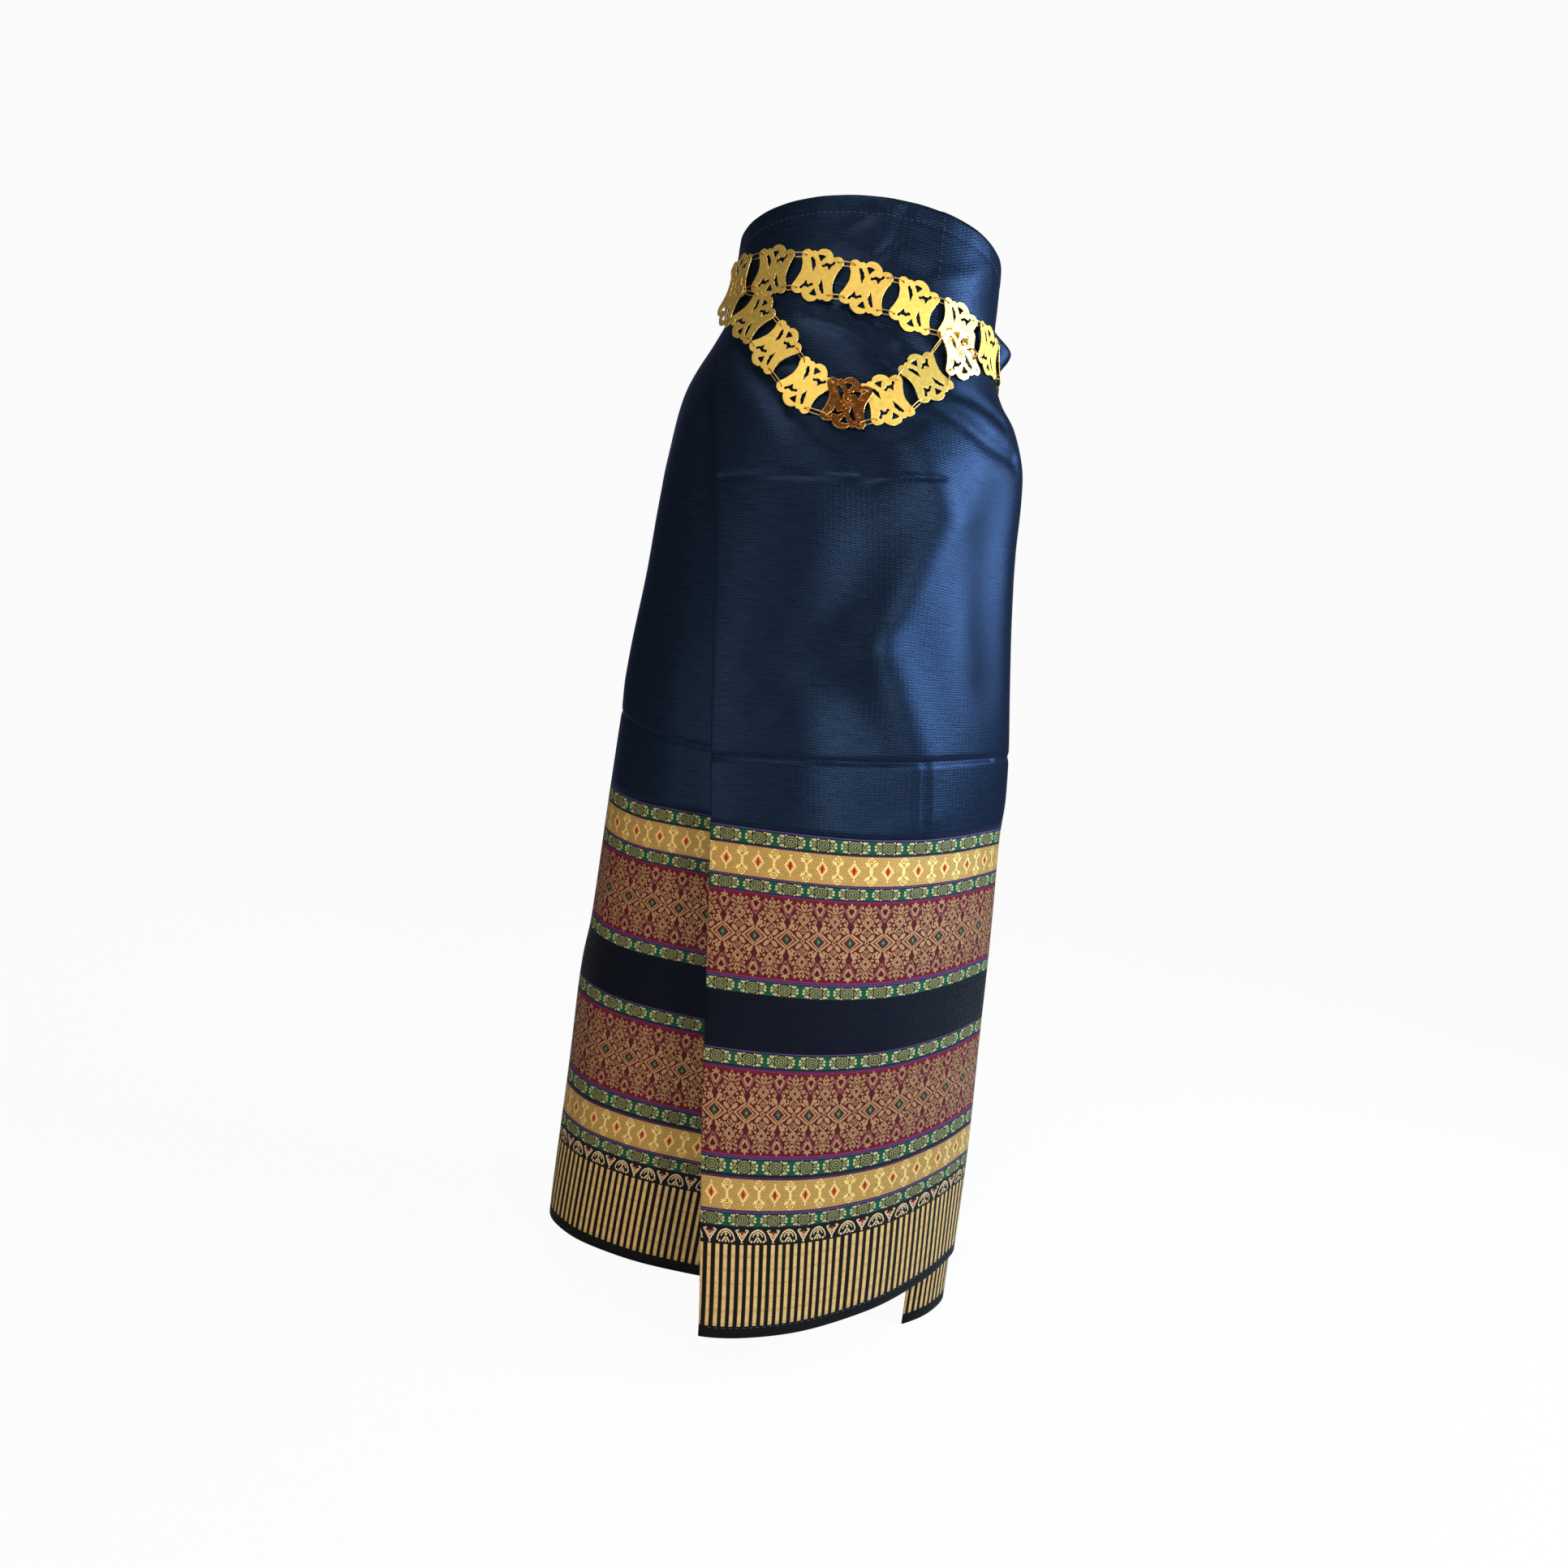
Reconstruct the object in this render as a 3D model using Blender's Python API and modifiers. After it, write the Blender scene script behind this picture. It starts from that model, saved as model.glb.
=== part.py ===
"""A worn wrap sinh: head band, satin body, woven foot border and a chain belt of stamped plates.

Lengths are metres and +Z is up. The origin is on the skirt's middle line at the waist, level with
the belt at the front. The front faces -Y and the free edge of the wrap is on the -X side.
"""
import math

import bmesh
import bpy
from mathutils import Matrix, Vector

# The cloth
WALL = 0.0012          # thickness of the folded satin
HEAD_WALL = 0.0024     # the head band is turned over once, so it is twice as thick
LAYER = 0.0020         # from the middle of one layer to the middle of the next
HEAD_SHIFT = 0.0022    # middle of the head band outside the innermost layer
SEAM = 0.0003          # gap left where two pieces are sewn together
HEAD_SEAM = 0.0005     # the same gap under the belt, where the cloth slopes

# Heights
BELT_Z = -0.003        # middle of the belt at the front
BELT_FALL = 0.025      # the belt falls this much from the front to the right hip
BELT_SAG = 0.009       # and sags this much under the same slant on the left one
BORDER_Z = -0.470      # where the woven border begins
HEM_Z = -0.904
RIM_Z = 0.057          # height of the rim at the sides
RIM_RISE = 0.020       # the rim is this much higher in front and lower behind

# The inner end of the wrap hangs lower than the rest
END_ANGLE = 50.0       # where the inner end starts, in degrees from the front towards +X
END_DROP = 0.052
FOLD_ANGLE = 395.0     # the hidden fold under the flap, one turn further on
FLAP_END = 500.0       # the outer end lies over the right hip, towards the back

# A corner of the wrap is tucked in at the right hip and puffs out over the belt: where it starts
# and ends, in degrees and in height, and how far it puffs out at its fullest and at its foot
TUCK_START, TUCK_END = 98.2, 119.0
TUCK_TOP, TUCK_FOOT = 0.022, -0.034
TUCK_OUT, TUCK_FOOT_OUT = 0.0290, 0.0080

# height, left and right half widths, front and back depths, turn of the flap's edge towards -X in
# degrees, and how far that edge stands off the layer under it
SECTIONS = [
    (0.080, 0.1200, 0.1170, 0.0840, 0.0800, 70.0, 0.000),
    (0.045, 0.1220, 0.1195, 0.0860, 0.0840, 70.0, 0.000),
    (0.010, 0.1225, 0.1200, 0.0890, 0.0880, 70.0, 0.000),
    (-0.015, 0.1280, 0.1210, 0.0910, 0.0920, 68.0, 0.000),
    (-0.040, 0.1390, 0.1250, 0.0940, 0.0980, 62.0, 0.000),
    (-0.065, 0.1520, 0.1360, 0.0980, 0.1060, 56.0, 0.001),
    (-0.085, 0.1600, 0.1500, 0.1020, 0.1120, 51.0, 0.003),
    (-0.115, 0.1670, 0.1600, 0.1060, 0.1200, 46.0, 0.005),
    (-0.150, 0.1740, 0.1640, 0.1100, 0.1270, 41.0, 0.008),
    (-0.200, 0.1785, 0.1650, 0.1120, 0.1310, 37.0, 0.012),
    (-0.260, 0.1820, 0.1695, 0.1120, 0.1300, 33.5, 0.017),
    (-0.330, 0.1880, 0.1775, 0.1100, 0.1270, 29.7, 0.025),
    (-0.400, 0.1920, 0.1855, 0.1075, 0.1250, 26.8, 0.032),
    (-0.470, 0.1940, 0.1905, 0.1050, 0.1240, 23.8, 0.040),
    (-0.560, 0.1970, 0.1965, 0.1020, 0.1220, 20.8, 0.050),
    (-0.650, 0.2005, 0.1995, 0.1000, 0.1210, 17.8, 0.059),
    (-0.740, 0.2030, 0.2025, 0.0980, 0.1200, 15.1, 0.067),
    (-0.820, 0.2055, 0.2035, 0.0970, 0.1200, 12.4, 0.074),
    (-0.904, 0.2080, 0.2035, 0.0960, 0.1200, 9.9, 0.081),
    (-0.970, 0.2080, 0.2035, 0.0960, 0.1200, 9.9, 0.081),
]
HEIGHT, LEFT, RIGHT, FRONT, BACK, EDGE, STAND = range(7)

# Rows of each cloth piece, from the top down; the first row of the body follows the slanting belt
HEAD_ROWS = [1.0, 0.84, 0.66, 0.5, 0.34, 0.17, 0.0]
BODY_ROWS = [
    BELT_Z - HEAD_SEAM, -0.014, -0.025, -0.036, -0.047, -0.059, -0.072, -0.087, -0.104, -0.124,
    -0.150, -0.180, -0.215, -0.255, -0.300, -0.360, -0.420, BORDER_Z + SEAM / 2,
]
BORDER_ROWS = [BORDER_Z - SEAM / 2, -0.530, -0.595, -0.660, -0.725, -0.790, -0.850, HEM_Z]

# The belt's plates, in the plate's own plane with X along the chain
PLATE_THICK = 0.0010
PLATE_SIDE = [
    (0.0160, 0.0000), (0.0180, 0.0070), (0.0197, 0.0111), (0.0199, 0.0144), (0.0181, 0.0169),
    (0.0151, 0.0182), (0.0097, 0.0171), (0.0085, 0.0190), (0.0060, 0.0213), (0.0022, 0.0230),
    (-0.0015, 0.0229), (-0.0045, 0.0216), (-0.0063, 0.0196), (-0.0086, 0.0201), (-0.0113, 0.0193),
    (-0.0145, 0.0204), (-0.0178, 0.0194), (-0.0195, 0.0165), (-0.0184, 0.0123), (-0.0160, 0.0045),
]
PLATE_HOLES = [
    [(-0.0098, 0.0137), (-0.0061, 0.0119), (-0.0046, 0.0084), (-0.0050, 0.0032), (-0.0082, 0.0090)],
    [(-0.0039, 0.0167), (0.0018, 0.0166), (-0.0007, 0.0123)],
    [(0.0021, 0.0086), (0.0051, 0.0113), (0.0112, 0.0128), (0.0085, 0.0066), (0.0056, 0.0091)],
]
PLATE_CLEAR = 0.0005   # between the cloth and the back of a plate
PLATE_COUNT = 16       # plates in the full turn round the waist
PLATE_START = -1.8     # where the first plate of the full turn lies, in degrees from the front
OVER_PLATE = 0.0032    # room for the full turn under a plate that lies over it

# The swag across the front: degrees from the front, height, lift over the neighbours, and how
# far a plate is turned in its own plane
SWAG = [
    (-66.5, -0.007, -0.0006, 0.0), (-44.5, -0.031, -0.0006, 0.0), (-29.5, -0.059, 0.0, 0.0),
    (-16.0, -0.092, 0.0, 0.0), (-3.0, -0.106, 0.0030, 0.0), (9.0, -0.097, 0.0, 0.0),
    (23.0, -0.071, -0.0003, 0.0), (39.5, -0.041, 0.0001, -24.0),
]

COLOURS = {
    "satin": (0.012, 0.025, 0.070, 1.0),
    "brocade": (0.300, 0.130, 0.060, 1.0),
    "gilt": (0.750, 0.520, 0.180, 1.0),
}


def smooth_step(value):
    """0 below 0, 1 above 1 and an even curve between them."""
    value = min(max(value, 0.0), 1.0)
    return value * value * (3.0 - 2.0 * value)


def at_height(z, column):
    """One column of SECTIONS at height z, on a smooth curve through the table's values."""
    rows = SECTIONS
    z = min(max(z, rows[-1][HEIGHT]), rows[0][HEIGHT])
    i = next(n for n in range(len(rows) - 1) if z >= rows[n + 1][HEIGHT])
    top, low = rows[i], rows[i + 1]
    above, below = rows[max(i - 1, 0)], rows[min(i + 2, len(rows) - 1)]
    span = top[HEIGHT] - low[HEIGHT]
    slope_top = (above[column] - low[column]) / (above[HEIGHT] - low[HEIGHT])
    slope_low = (top[column] - below[column]) / (top[HEIGHT] - below[HEIGHT])
    t = (z - low[HEIGHT]) / span
    return (
        (2 * t ** 3 - 3 * t ** 2 + 1) * low[column]
        + (t ** 3 - 2 * t ** 2 + t) * span * slope_low
        + (3 * t ** 2 - 2 * t ** 3) * top[column]
        + (t ** 3 - t ** 2) * span * slope_top
    )


def cloth_point(angle, z, shift, lift):
    """A point of the cloth: shift is outward from the innermost layer, lift is forward."""
    turn = math.radians(angle)
    wide = at_height(z, RIGHT if math.sin(turn) > 0 else LEFT)
    deep = at_height(z, FRONT if math.cos(turn) > 0 else BACK)
    point = Vector((wide * math.sin(turn), -deep * math.cos(turn), z))
    outward = Vector((deep * math.sin(turn), -wide * math.cos(turn), 0.0)).normalized()
    return point + outward * shift - Vector((0.0, lift, 0.0))


def belt_rise(angle):
    """How much higher the belt runs here than at the front."""
    across = -math.sin(math.radians(angle))
    return across * BELT_FALL - BELT_SAG * max(across, 0.0) ** 4


def slanted(z, angle):
    """The height z, slanting with the belt near the waist and level lower down."""
    weight = smooth_step((z + 0.125) / 0.10) if z < BELT_Z else 1.0
    return z + belt_rise(angle) * weight


def flap_lift(angle, z):
    """How far the flap stands forward of the under layer."""
    return at_height(z, STAND) * smooth_step((75.0 - (angle - 360.0)) / 85.0)


def middle_lift(angle, z):
    """The same for the hidden layer that runs back from the flap's edge to the inner fold."""
    return at_height(z, STAND) * smooth_step((35.0 - (angle - 360.0)) / 45.0)


def end_drop(angle, z):
    """The inner end hangs lower; before the back it is level again, under the outer end."""
    return END_DROP * smooth_step((145.0 - angle) / 50.0) * smooth_step((-0.10 - z) / 0.35)


def fold_points(first, last, beyond):
    """Three points that carry the cloth round a fold from first to last, bulging towards beyond."""
    middle = (first + last) / 2
    half = (first - last).length / 2
    aside = (first - last).normalized()
    return [middle + aside * half * math.cos(t) + beyond * half * math.sin(t)
            for t in (math.radians(45), math.radians(90), math.radians(135))]


def row_points(z_row):
    """The wrap at one height: inner end, once round, the hidden fold, the flap's edge, the flap."""
    def place(angle, shift, lift_of):
        z = slanted(z_row, angle)
        lift = lift_of(angle, z) if lift_of else 0.0
        return cloth_point(angle, z, shift, lift)

    edge = 360.0 - at_height(z_row, EDGE)
    round_once = []
    for n in range(47):
        angle = END_ANGLE + (FOLD_ANGLE - END_ANGLE) * n / 46
        point = place(angle, 0.0, None)
        round_once.append(point - Vector((0.0, 0.0, end_drop(angle, point.z))))
    middle = [place(FOLD_ANGLE + (edge - FOLD_ANGLE) * n / 9, LAYER, middle_lift) for n in range(10)]
    flap = [place(edge + (FLAP_END - edge) * n / 20, 2 * LAYER, flap_lift) for n in range(21)]

    inner_way = (round_once[-1] - round_once[-2]).normalized()
    outer_way = (flap[0] - flap[1]).normalized()
    return (round_once + fold_points(round_once[-1], middle[0], inner_way) + middle
            + fold_points(middle[-1], flap[0], outer_way) + flap)


def head_points(share):
    """One row of the head band, a closed ring; share is 1 at the rim and 0 at its lower edge."""
    points = []
    for n in range(60):
        angle = 360.0 * n / 60
        low = BELT_Z + belt_rise(angle)
        high = RIM_Z + RIM_RISE * math.cos(math.radians(angle))
        points.append(cloth_point(angle, low + (high - low) * share, HEAD_SHIFT, 0.0))
    return points


def tuck_points(share):
    """One row of the tucked corner; share is 0 at its top edge and 1 at its foot."""
    z = TUCK_TOP + (TUCK_FOOT - TUCK_TOP) * share
    fall = 1.0 - (1.0 - TUCK_FOOT_OUT / TUCK_OUT) * smooth_step((share - 0.4) / 0.6)
    puff = TUCK_OUT * smooth_step(share / 0.4) * fall
    rest = HEAD_SHIFT + HEAD_WALL / 2 + 0.0010 + 0.0013 * smooth_step((-0.012 - z) / 0.010)
    points = []
    for n in range(13):
        along = n / 12
        swell = (1.0 - 0.45 * along ** 3) * math.sin(math.pi / 2 * min(along / 0.35, 1.0)) ** 0.5
        angle = TUCK_START + (TUCK_END - TUCK_START) * along
        points.append(cloth_point(angle, z, rest + puff * swell, 0.0))
    return points


def new_material(name, colour, metallic, roughness):
    material = bpy.data.materials.new(name)
    material.use_nodes = True
    shader = material.node_tree.nodes["Principled BSDF"]
    shader.inputs["Base Color"].default_value = colour
    shader.inputs["Metallic"].default_value = metallic
    shader.inputs["Roughness"].default_value = roughness
    return material


def add_object(name, data, material, home):
    piece = bpy.data.objects.new(name, data)
    home.objects.link(piece)
    data.materials.append(material)
    return piece


def cloth_wall(name, rows, ring, thickness, material, home):
    """A sheet lofted through the rows, thickened to a wall."""
    count = len(rows[0])
    points = [tuple(point) for row in rows for point in row]
    faces = []
    for r in range(len(rows) - 1):
        for c in range(count if ring else count - 1):
            after = (c + 1) % count
            faces.append((r * count + c, (r + 1) * count + c,
                          (r + 1) * count + after, r * count + after))
    mesh = bpy.data.meshes.new(name)
    mesh.from_pydata(points, [], faces)
    piece = add_object(name, mesh, material, home)
    thicken = piece.modifiers.new("Thickness", "SOLIDIFY")
    thicken.thickness = thickness
    thicken.offset = 0.0
    thicken.use_even_offset = True
    return piece


def belt_height(angle):
    """Height of the full turn's middle line."""
    return BELT_Z + belt_rise(angle)


def front_share(angle):
    """1 where the flap is the outermost layer, 0 where the belt lies on the head band alone."""
    return smooth_step((angle + 78.0) / 12.0) * smooth_step((FLAP_END - 350.0 - angle) / 12.0)


def skin(angle, z, extra=0.0):
    """The even surface that sets how the belt's plates lean."""
    share = front_share(angle)
    shift = HEAD_SHIFT + HEAD_WALL / 2
    shift += share * (2 * LAYER + WALL / 2 - shift)
    return cloth_point(angle, z, shift + extra, share * flap_lift(angle + 360.0, z))


def surface(angle, z, extra=0.0):
    """The cloth's real outer surface, with its step at the seam under the belt."""
    in_flap = -at_height(z, EDGE) - 1.0 < angle < FLAP_END - 360.0 + 1.0
    if z > belt_height(angle):
        return cloth_point(angle, z, HEAD_SHIFT + HEAD_WALL / 2 + extra, 0.0)
    shift = WALL / 2 + (2 * LAYER if in_flap else 0.0)
    return cloth_point(angle, z, shift + extra, flap_lift(angle + 360.0, z) if in_flap else 0.0)


def plate_frame(angle, z, along, over, lift=0.0, turn=0.0):
    """Where a plate rests: flat against the cloth, or over the full turn, X axis along the chain."""
    def raised(spot_angle, spot_z):
        return over if spot_z > belt_height(spot_angle) - 0.023 else 0.0

    def lean(spot_angle, spot_z):
        return skin(spot_angle, spot_z, raised(spot_angle, spot_z))

    across = lean(angle + 1.5, z) - lean(angle - 1.5, z)
    down = lean(angle, z - 0.014) - lean(angle, z + 0.014)
    outward = down.cross(across).normalized()
    along = (along - outward * along.dot(outward)).normalized()
    along = Matrix.Rotation(math.radians(turn), 3, outward) @ along
    up = outward.cross(along)
    centre = lean(angle, z)
    reach = -1.0
    for n in range(-12, 13):
        for m in range(-11, 12):
            spot_angle, spot_z = angle + n, z + 0.0023 * m
            spot = surface(spot_angle, spot_z, raised(spot_angle, spot_z)) - centre
            if abs(spot.dot(along)) < 0.0203 and abs(spot.dot(up)) < 0.0240:
                reach = max(reach, spot.dot(outward))
    origin = centre + outward * (reach + PLATE_CLEAR + PLATE_THICK / 2 + lift)
    axes = Matrix((along, up, outward)).transposed().to_4x4()
    return Matrix.Translation(origin) @ axes


def plate_mesh():
    """The plate's pierced outline as a filled 2D curve, the same after half a turn, made a mesh."""
    curve = bpy.data.curves.new("plate_outline", "CURVE")
    curve.dimensions = "2D"
    curve.fill_mode = "BOTH"
    curve.extrude = PLATE_THICK / 2
    outline = PLATE_SIDE + [(-x, -y) for x, y in PLATE_SIDE]
    holes = PLATE_HOLES + [[(-x, -y) for x, y in hole] for hole in PLATE_HOLES]
    for loop in [outline] + holes:
        spline = curve.splines.new("POLY")
        spline.points.add(len(loop) - 1)
        for spot, (x, y) in zip(spline.points, loop):
            spot.co = (x, y, 0.0, 1.0)
        spline.use_cyclic_u = True
    pattern = bpy.data.objects.new("plate_pattern", curve)
    mesh = bpy.data.meshes.new_from_object(pattern)
    bpy.data.objects.remove(pattern)
    shape = bmesh.new()
    shape.from_mesh(mesh)
    bmesh.ops.remove_doubles(shape, verts=shape.verts, dist=0.00002)
    bmesh.ops.recalc_face_normals(shape, faces=shape.faces)
    shape.to_mesh(mesh)
    shape.free()
    return mesh


def belt_line(count):
    """Evenly spaced places on the full turn, as angles from the front."""
    angles = [PLATE_START + 0.5 * n for n in range(721)]
    spots = [skin(a if a <= 180 else a - 360, belt_height(a)) for a in angles]
    run = [0.0]
    for before, after in zip(spots, spots[1:]):
        run.append(run[-1] + (after - before).length)
    placed = []
    for n in range(count):
        goal = run[-1] * n / count
        k = next(i for i in range(720) if run[i + 1] >= goal)
        share = (goal - run[k]) / (run[k + 1] - run[k])
        placed.append(angles[k] + 0.5 * share)
    return placed


def add_plates(home, material):
    """The full turn of plates, then the swag."""
    plate = plate_mesh()
    for n, angle in enumerate(belt_line(PLATE_COUNT)):
        angle = angle if angle <= 180.0 else angle - 360.0
        z = belt_height(angle)
        along = skin(angle + 2, belt_height(angle + 2)) - skin(angle - 2, belt_height(angle - 2))
        piece = add_object(f"belt_plate_{n + 1:02d}", plate.copy(), material, home)
        piece.matrix_world = plate_frame(angle, z, along, 0.0)
    for n, (angle, z, lift, turn) in enumerate(SWAG):
        before, after = SWAG[max(n - 1, 0)], SWAG[min(n + 1, len(SWAG) - 1)]
        along = skin(after[0], after[1]) - skin(before[0], before[1])
        piece = add_object(f"swag_plate_{n + 1}", plate.copy(), material, home)
        piece.matrix_world = plate_frame(angle, z, along, OVER_PLATE, lift, turn)


def build():
    for old in list(bpy.data.objects):
        bpy.data.objects.remove(old)
    home = bpy.data.collections.new("sinh_tube_skirt")
    bpy.context.scene.collection.children.link(home)
    satin = new_material("navy_satin", COLOURS["satin"], 0.0, 0.45)
    brocade = new_material("woven_brocade", COLOURS["brocade"], 0.0, 0.60)
    gilt = new_material("gilt_plate", COLOURS["gilt"], 1.0, 0.35)

    cloth_wall("head_band", [head_points(share) for share in HEAD_ROWS], True, HEAD_WALL,
               satin, home)
    cloth_wall("body_cloth", [row_points(z) for z in BODY_ROWS], False, WALL, satin, home)
    cloth_wall("foot_border", [row_points(z) for z in BORDER_ROWS], False, WALL, brocade, home)
    cloth_wall("side_tuck", [tuck_points(n / 8) for n in range(9)], False, WALL, satin, home)
    add_plates(home, gilt)
    print("cloth columns", len(row_points(BORDER_Z)), "body rows", len(BODY_ROWS))


build()
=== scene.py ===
# %% [markdown]
# # A wrapped sinh with a chain belt
# A sinh is a long skirt made of three sewn parts: a plain head band at the waist, a satin body and
# a deep woven foot border. This one is wrapped: the cloth goes once round, folds back on itself
# under the front and comes round again as a wide flap that ends over one hip. A chain of stamped
# plates holds it at the waist and hangs in a swag in front. Each step below makes one of these.
# The packed model is loaded first, because every new piece takes its place from it.

# %% Load the frame
import math

import bmesh
import bpy
import numpy as np
from mathutils import Matrix, Vector


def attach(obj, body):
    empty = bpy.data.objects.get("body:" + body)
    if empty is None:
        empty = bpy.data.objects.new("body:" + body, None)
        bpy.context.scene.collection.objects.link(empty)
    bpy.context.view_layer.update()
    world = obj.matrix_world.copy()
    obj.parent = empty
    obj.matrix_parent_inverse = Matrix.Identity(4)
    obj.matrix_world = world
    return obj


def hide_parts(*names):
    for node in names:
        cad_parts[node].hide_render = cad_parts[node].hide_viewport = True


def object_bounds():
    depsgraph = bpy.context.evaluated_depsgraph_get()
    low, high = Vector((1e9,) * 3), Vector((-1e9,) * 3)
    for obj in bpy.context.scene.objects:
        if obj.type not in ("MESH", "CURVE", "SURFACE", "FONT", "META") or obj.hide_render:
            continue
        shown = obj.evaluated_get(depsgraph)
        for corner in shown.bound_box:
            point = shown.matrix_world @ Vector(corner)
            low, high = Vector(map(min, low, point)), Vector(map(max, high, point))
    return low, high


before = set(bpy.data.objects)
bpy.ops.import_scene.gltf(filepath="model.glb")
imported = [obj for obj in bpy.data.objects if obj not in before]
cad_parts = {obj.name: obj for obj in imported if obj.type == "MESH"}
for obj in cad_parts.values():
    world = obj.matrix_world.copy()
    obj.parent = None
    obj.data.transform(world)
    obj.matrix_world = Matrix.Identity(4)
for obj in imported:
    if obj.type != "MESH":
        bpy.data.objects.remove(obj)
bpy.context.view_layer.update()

# %% [markdown]
# ## The form of the worn cloth
# The table gives the skirt's outline at each height, as the solids have it: half widths to either
# side, depths in front and behind, where the flap's free edge lies and how far it stands off the
# layer under it. A smooth curve through the rows gives any height between them. Angles are
# degrees from the front, growing towards +X. Working on whole arrays keeps the fine sheets quick.

# %% The skirt's measures
SECTIONS = np.array([
    (0.080, 0.1200, 0.1170, 0.0840, 0.0800, 70.0, 0.000),
    (0.045, 0.1220, 0.1195, 0.0860, 0.0840, 70.0, 0.000),
    (0.010, 0.1225, 0.1200, 0.0890, 0.0880, 70.0, 0.000),
    (-0.015, 0.1280, 0.1210, 0.0910, 0.0920, 68.0, 0.000),
    (-0.040, 0.1390, 0.1250, 0.0940, 0.0980, 62.0, 0.000),
    (-0.065, 0.1520, 0.1360, 0.0980, 0.1060, 56.0, 0.001),
    (-0.085, 0.1600, 0.1500, 0.1020, 0.1120, 51.0, 0.003),
    (-0.115, 0.1670, 0.1600, 0.1060, 0.1200, 46.0, 0.005),
    (-0.150, 0.1740, 0.1640, 0.1100, 0.1270, 41.0, 0.008),
    (-0.200, 0.1785, 0.1650, 0.1120, 0.1310, 37.0, 0.012),
    (-0.260, 0.1820, 0.1695, 0.1120, 0.1300, 33.5, 0.017),
    (-0.330, 0.1880, 0.1775, 0.1100, 0.1270, 29.7, 0.025),
    (-0.400, 0.1920, 0.1855, 0.1075, 0.1250, 26.8, 0.032),
    (-0.470, 0.1940, 0.1905, 0.1050, 0.1240, 23.8, 0.040),
    (-0.560, 0.1970, 0.1965, 0.1020, 0.1220, 20.8, 0.050),
    (-0.650, 0.2005, 0.1995, 0.1000, 0.1210, 17.8, 0.059),
    (-0.740, 0.2030, 0.2025, 0.0980, 0.1200, 15.1, 0.067),
    (-0.820, 0.2055, 0.2035, 0.0970, 0.1200, 12.4, 0.074),
    (-0.904, 0.2080, 0.2035, 0.0960, 0.1200, 9.9, 0.081),
    (-0.970, 0.2080, 0.2035, 0.0960, 0.1200, 9.9, 0.081),
])
HEIGHT, LEFT, RIGHT, FRONT, BACK, EDGE, STAND = range(7)

WALL = 0.0012          # thickness of the cloth
HEAD_WALL = 0.0024     # of the head band, which is turned double
LAYER = 0.0020         # from the middle of one layer of the wrap to the next
HEAD_SHIFT = 0.0022    # middle of the head band, outward from the innermost layer
SEAM = 0.0003          # between body and border
HEAD_SEAM = 0.0005     # between head band and body
BELT_Z = -0.003        # height of the belt in front, where head band and body meet
BELT_FALL = 0.025      # how much the belt rises to the left and falls to the right
BELT_SAG = 0.009       # how much less it rises at the very left
BORDER_Z = -0.470      # height of the seam between body and border
HEM_Z = -0.904
RIM_Z = 0.057          # height of the rim at the sides
RIM_RISE = 0.020       # how much higher it is in front, and lower behind
END_ANGLE = 50.0       # where the strip's inner end hangs
END_DROP = 0.052       # how much lower it hangs there
FOLD_ANGLE = 395.0     # where the strip folds back under the front
FLAP_END = 500.0       # where the flap ends, over the right hip
SWAG = [  # the belt's swag: degrees from the front, height, lift, and turn in its own plane
    (-66.5, -0.007, -0.0006, 0.0), (-44.5, -0.031, -0.0006, 0.0), (-29.5, -0.059, 0.0, 0.0),
    (-16.0, -0.092, 0.0, 0.0), (-3.0, -0.106, 0.0030, 0.0), (9.0, -0.097, 0.0, 0.0),
    (23.0, -0.071, -0.0003, 0.0), (39.5, -0.041, 0.0001, -24.0),
]
print("rows in the outline", len(SECTIONS), "plates in the swag", len(SWAG))

# %% Points between the rows
def smooth_step(value):
    """0 below 0, 1 above 1 and an even curve between them."""
    value = np.clip(value, 0.0, 1.0)
    return value * value * (3.0 - 2.0 * value)


def at_height(z, column):
    """One column of SECTIONS at the heights z, on a smooth curve through the table's values."""
    heights, values = SECTIONS[:, HEIGHT], SECTIONS[:, column]
    last = len(heights) - 1
    z = np.clip(z, heights[last], heights[0])
    low = np.clip(np.searchsorted(-heights, -z), 1, last)
    top = low - 1
    above, below = np.maximum(top - 1, 0), np.minimum(low + 1, last)
    span = heights[top] - heights[low]
    slope_top = (values[above] - values[low]) / (heights[above] - heights[low])
    slope_low = (values[top] - values[below]) / (heights[top] - heights[below])
    t = (z - heights[low]) / span
    return (
        (2 * t ** 3 - 3 * t ** 2 + 1) * values[low]
        + (t ** 3 - 2 * t ** 2 + t) * span * slope_low
        + (3 * t ** 2 - 2 * t ** 3) * values[top]
        + (t ** 3 - t ** 2) * span * slope_top
    )


def cloth_point(angle, z, shift, lift=0.0):
    """Points of the cloth: shift is outward from the innermost layer, lift is forward."""
    turn = np.radians(angle)
    wide = np.where(np.sin(turn) > 0, at_height(z, RIGHT), at_height(z, LEFT))
    deep = np.where(np.cos(turn) > 0, at_height(z, FRONT), at_height(z, BACK))
    out_x, out_y = deep * np.sin(turn), -wide * np.cos(turn)
    length = np.hypot(out_x, out_y)
    x = wide * np.sin(turn) + out_x / length * shift
    y = -deep * np.cos(turn) + out_y / length * shift - lift
    return np.stack(np.broadcast_arrays(x, y, z), axis=-1)


def belt_rise(angle):
    """How much higher the belt runs here than at the front."""
    across = -np.sin(np.radians(angle))
    return across * BELT_FALL - BELT_SAG * np.maximum(across, 0.0) ** 4


def slanted(z, angle):
    """The height z, slanting with the belt near the waist and level lower down."""
    weight = np.where(z < BELT_Z, smooth_step((z + 0.125) / 0.10), 1.0)
    return z + belt_rise(angle) * weight


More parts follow.
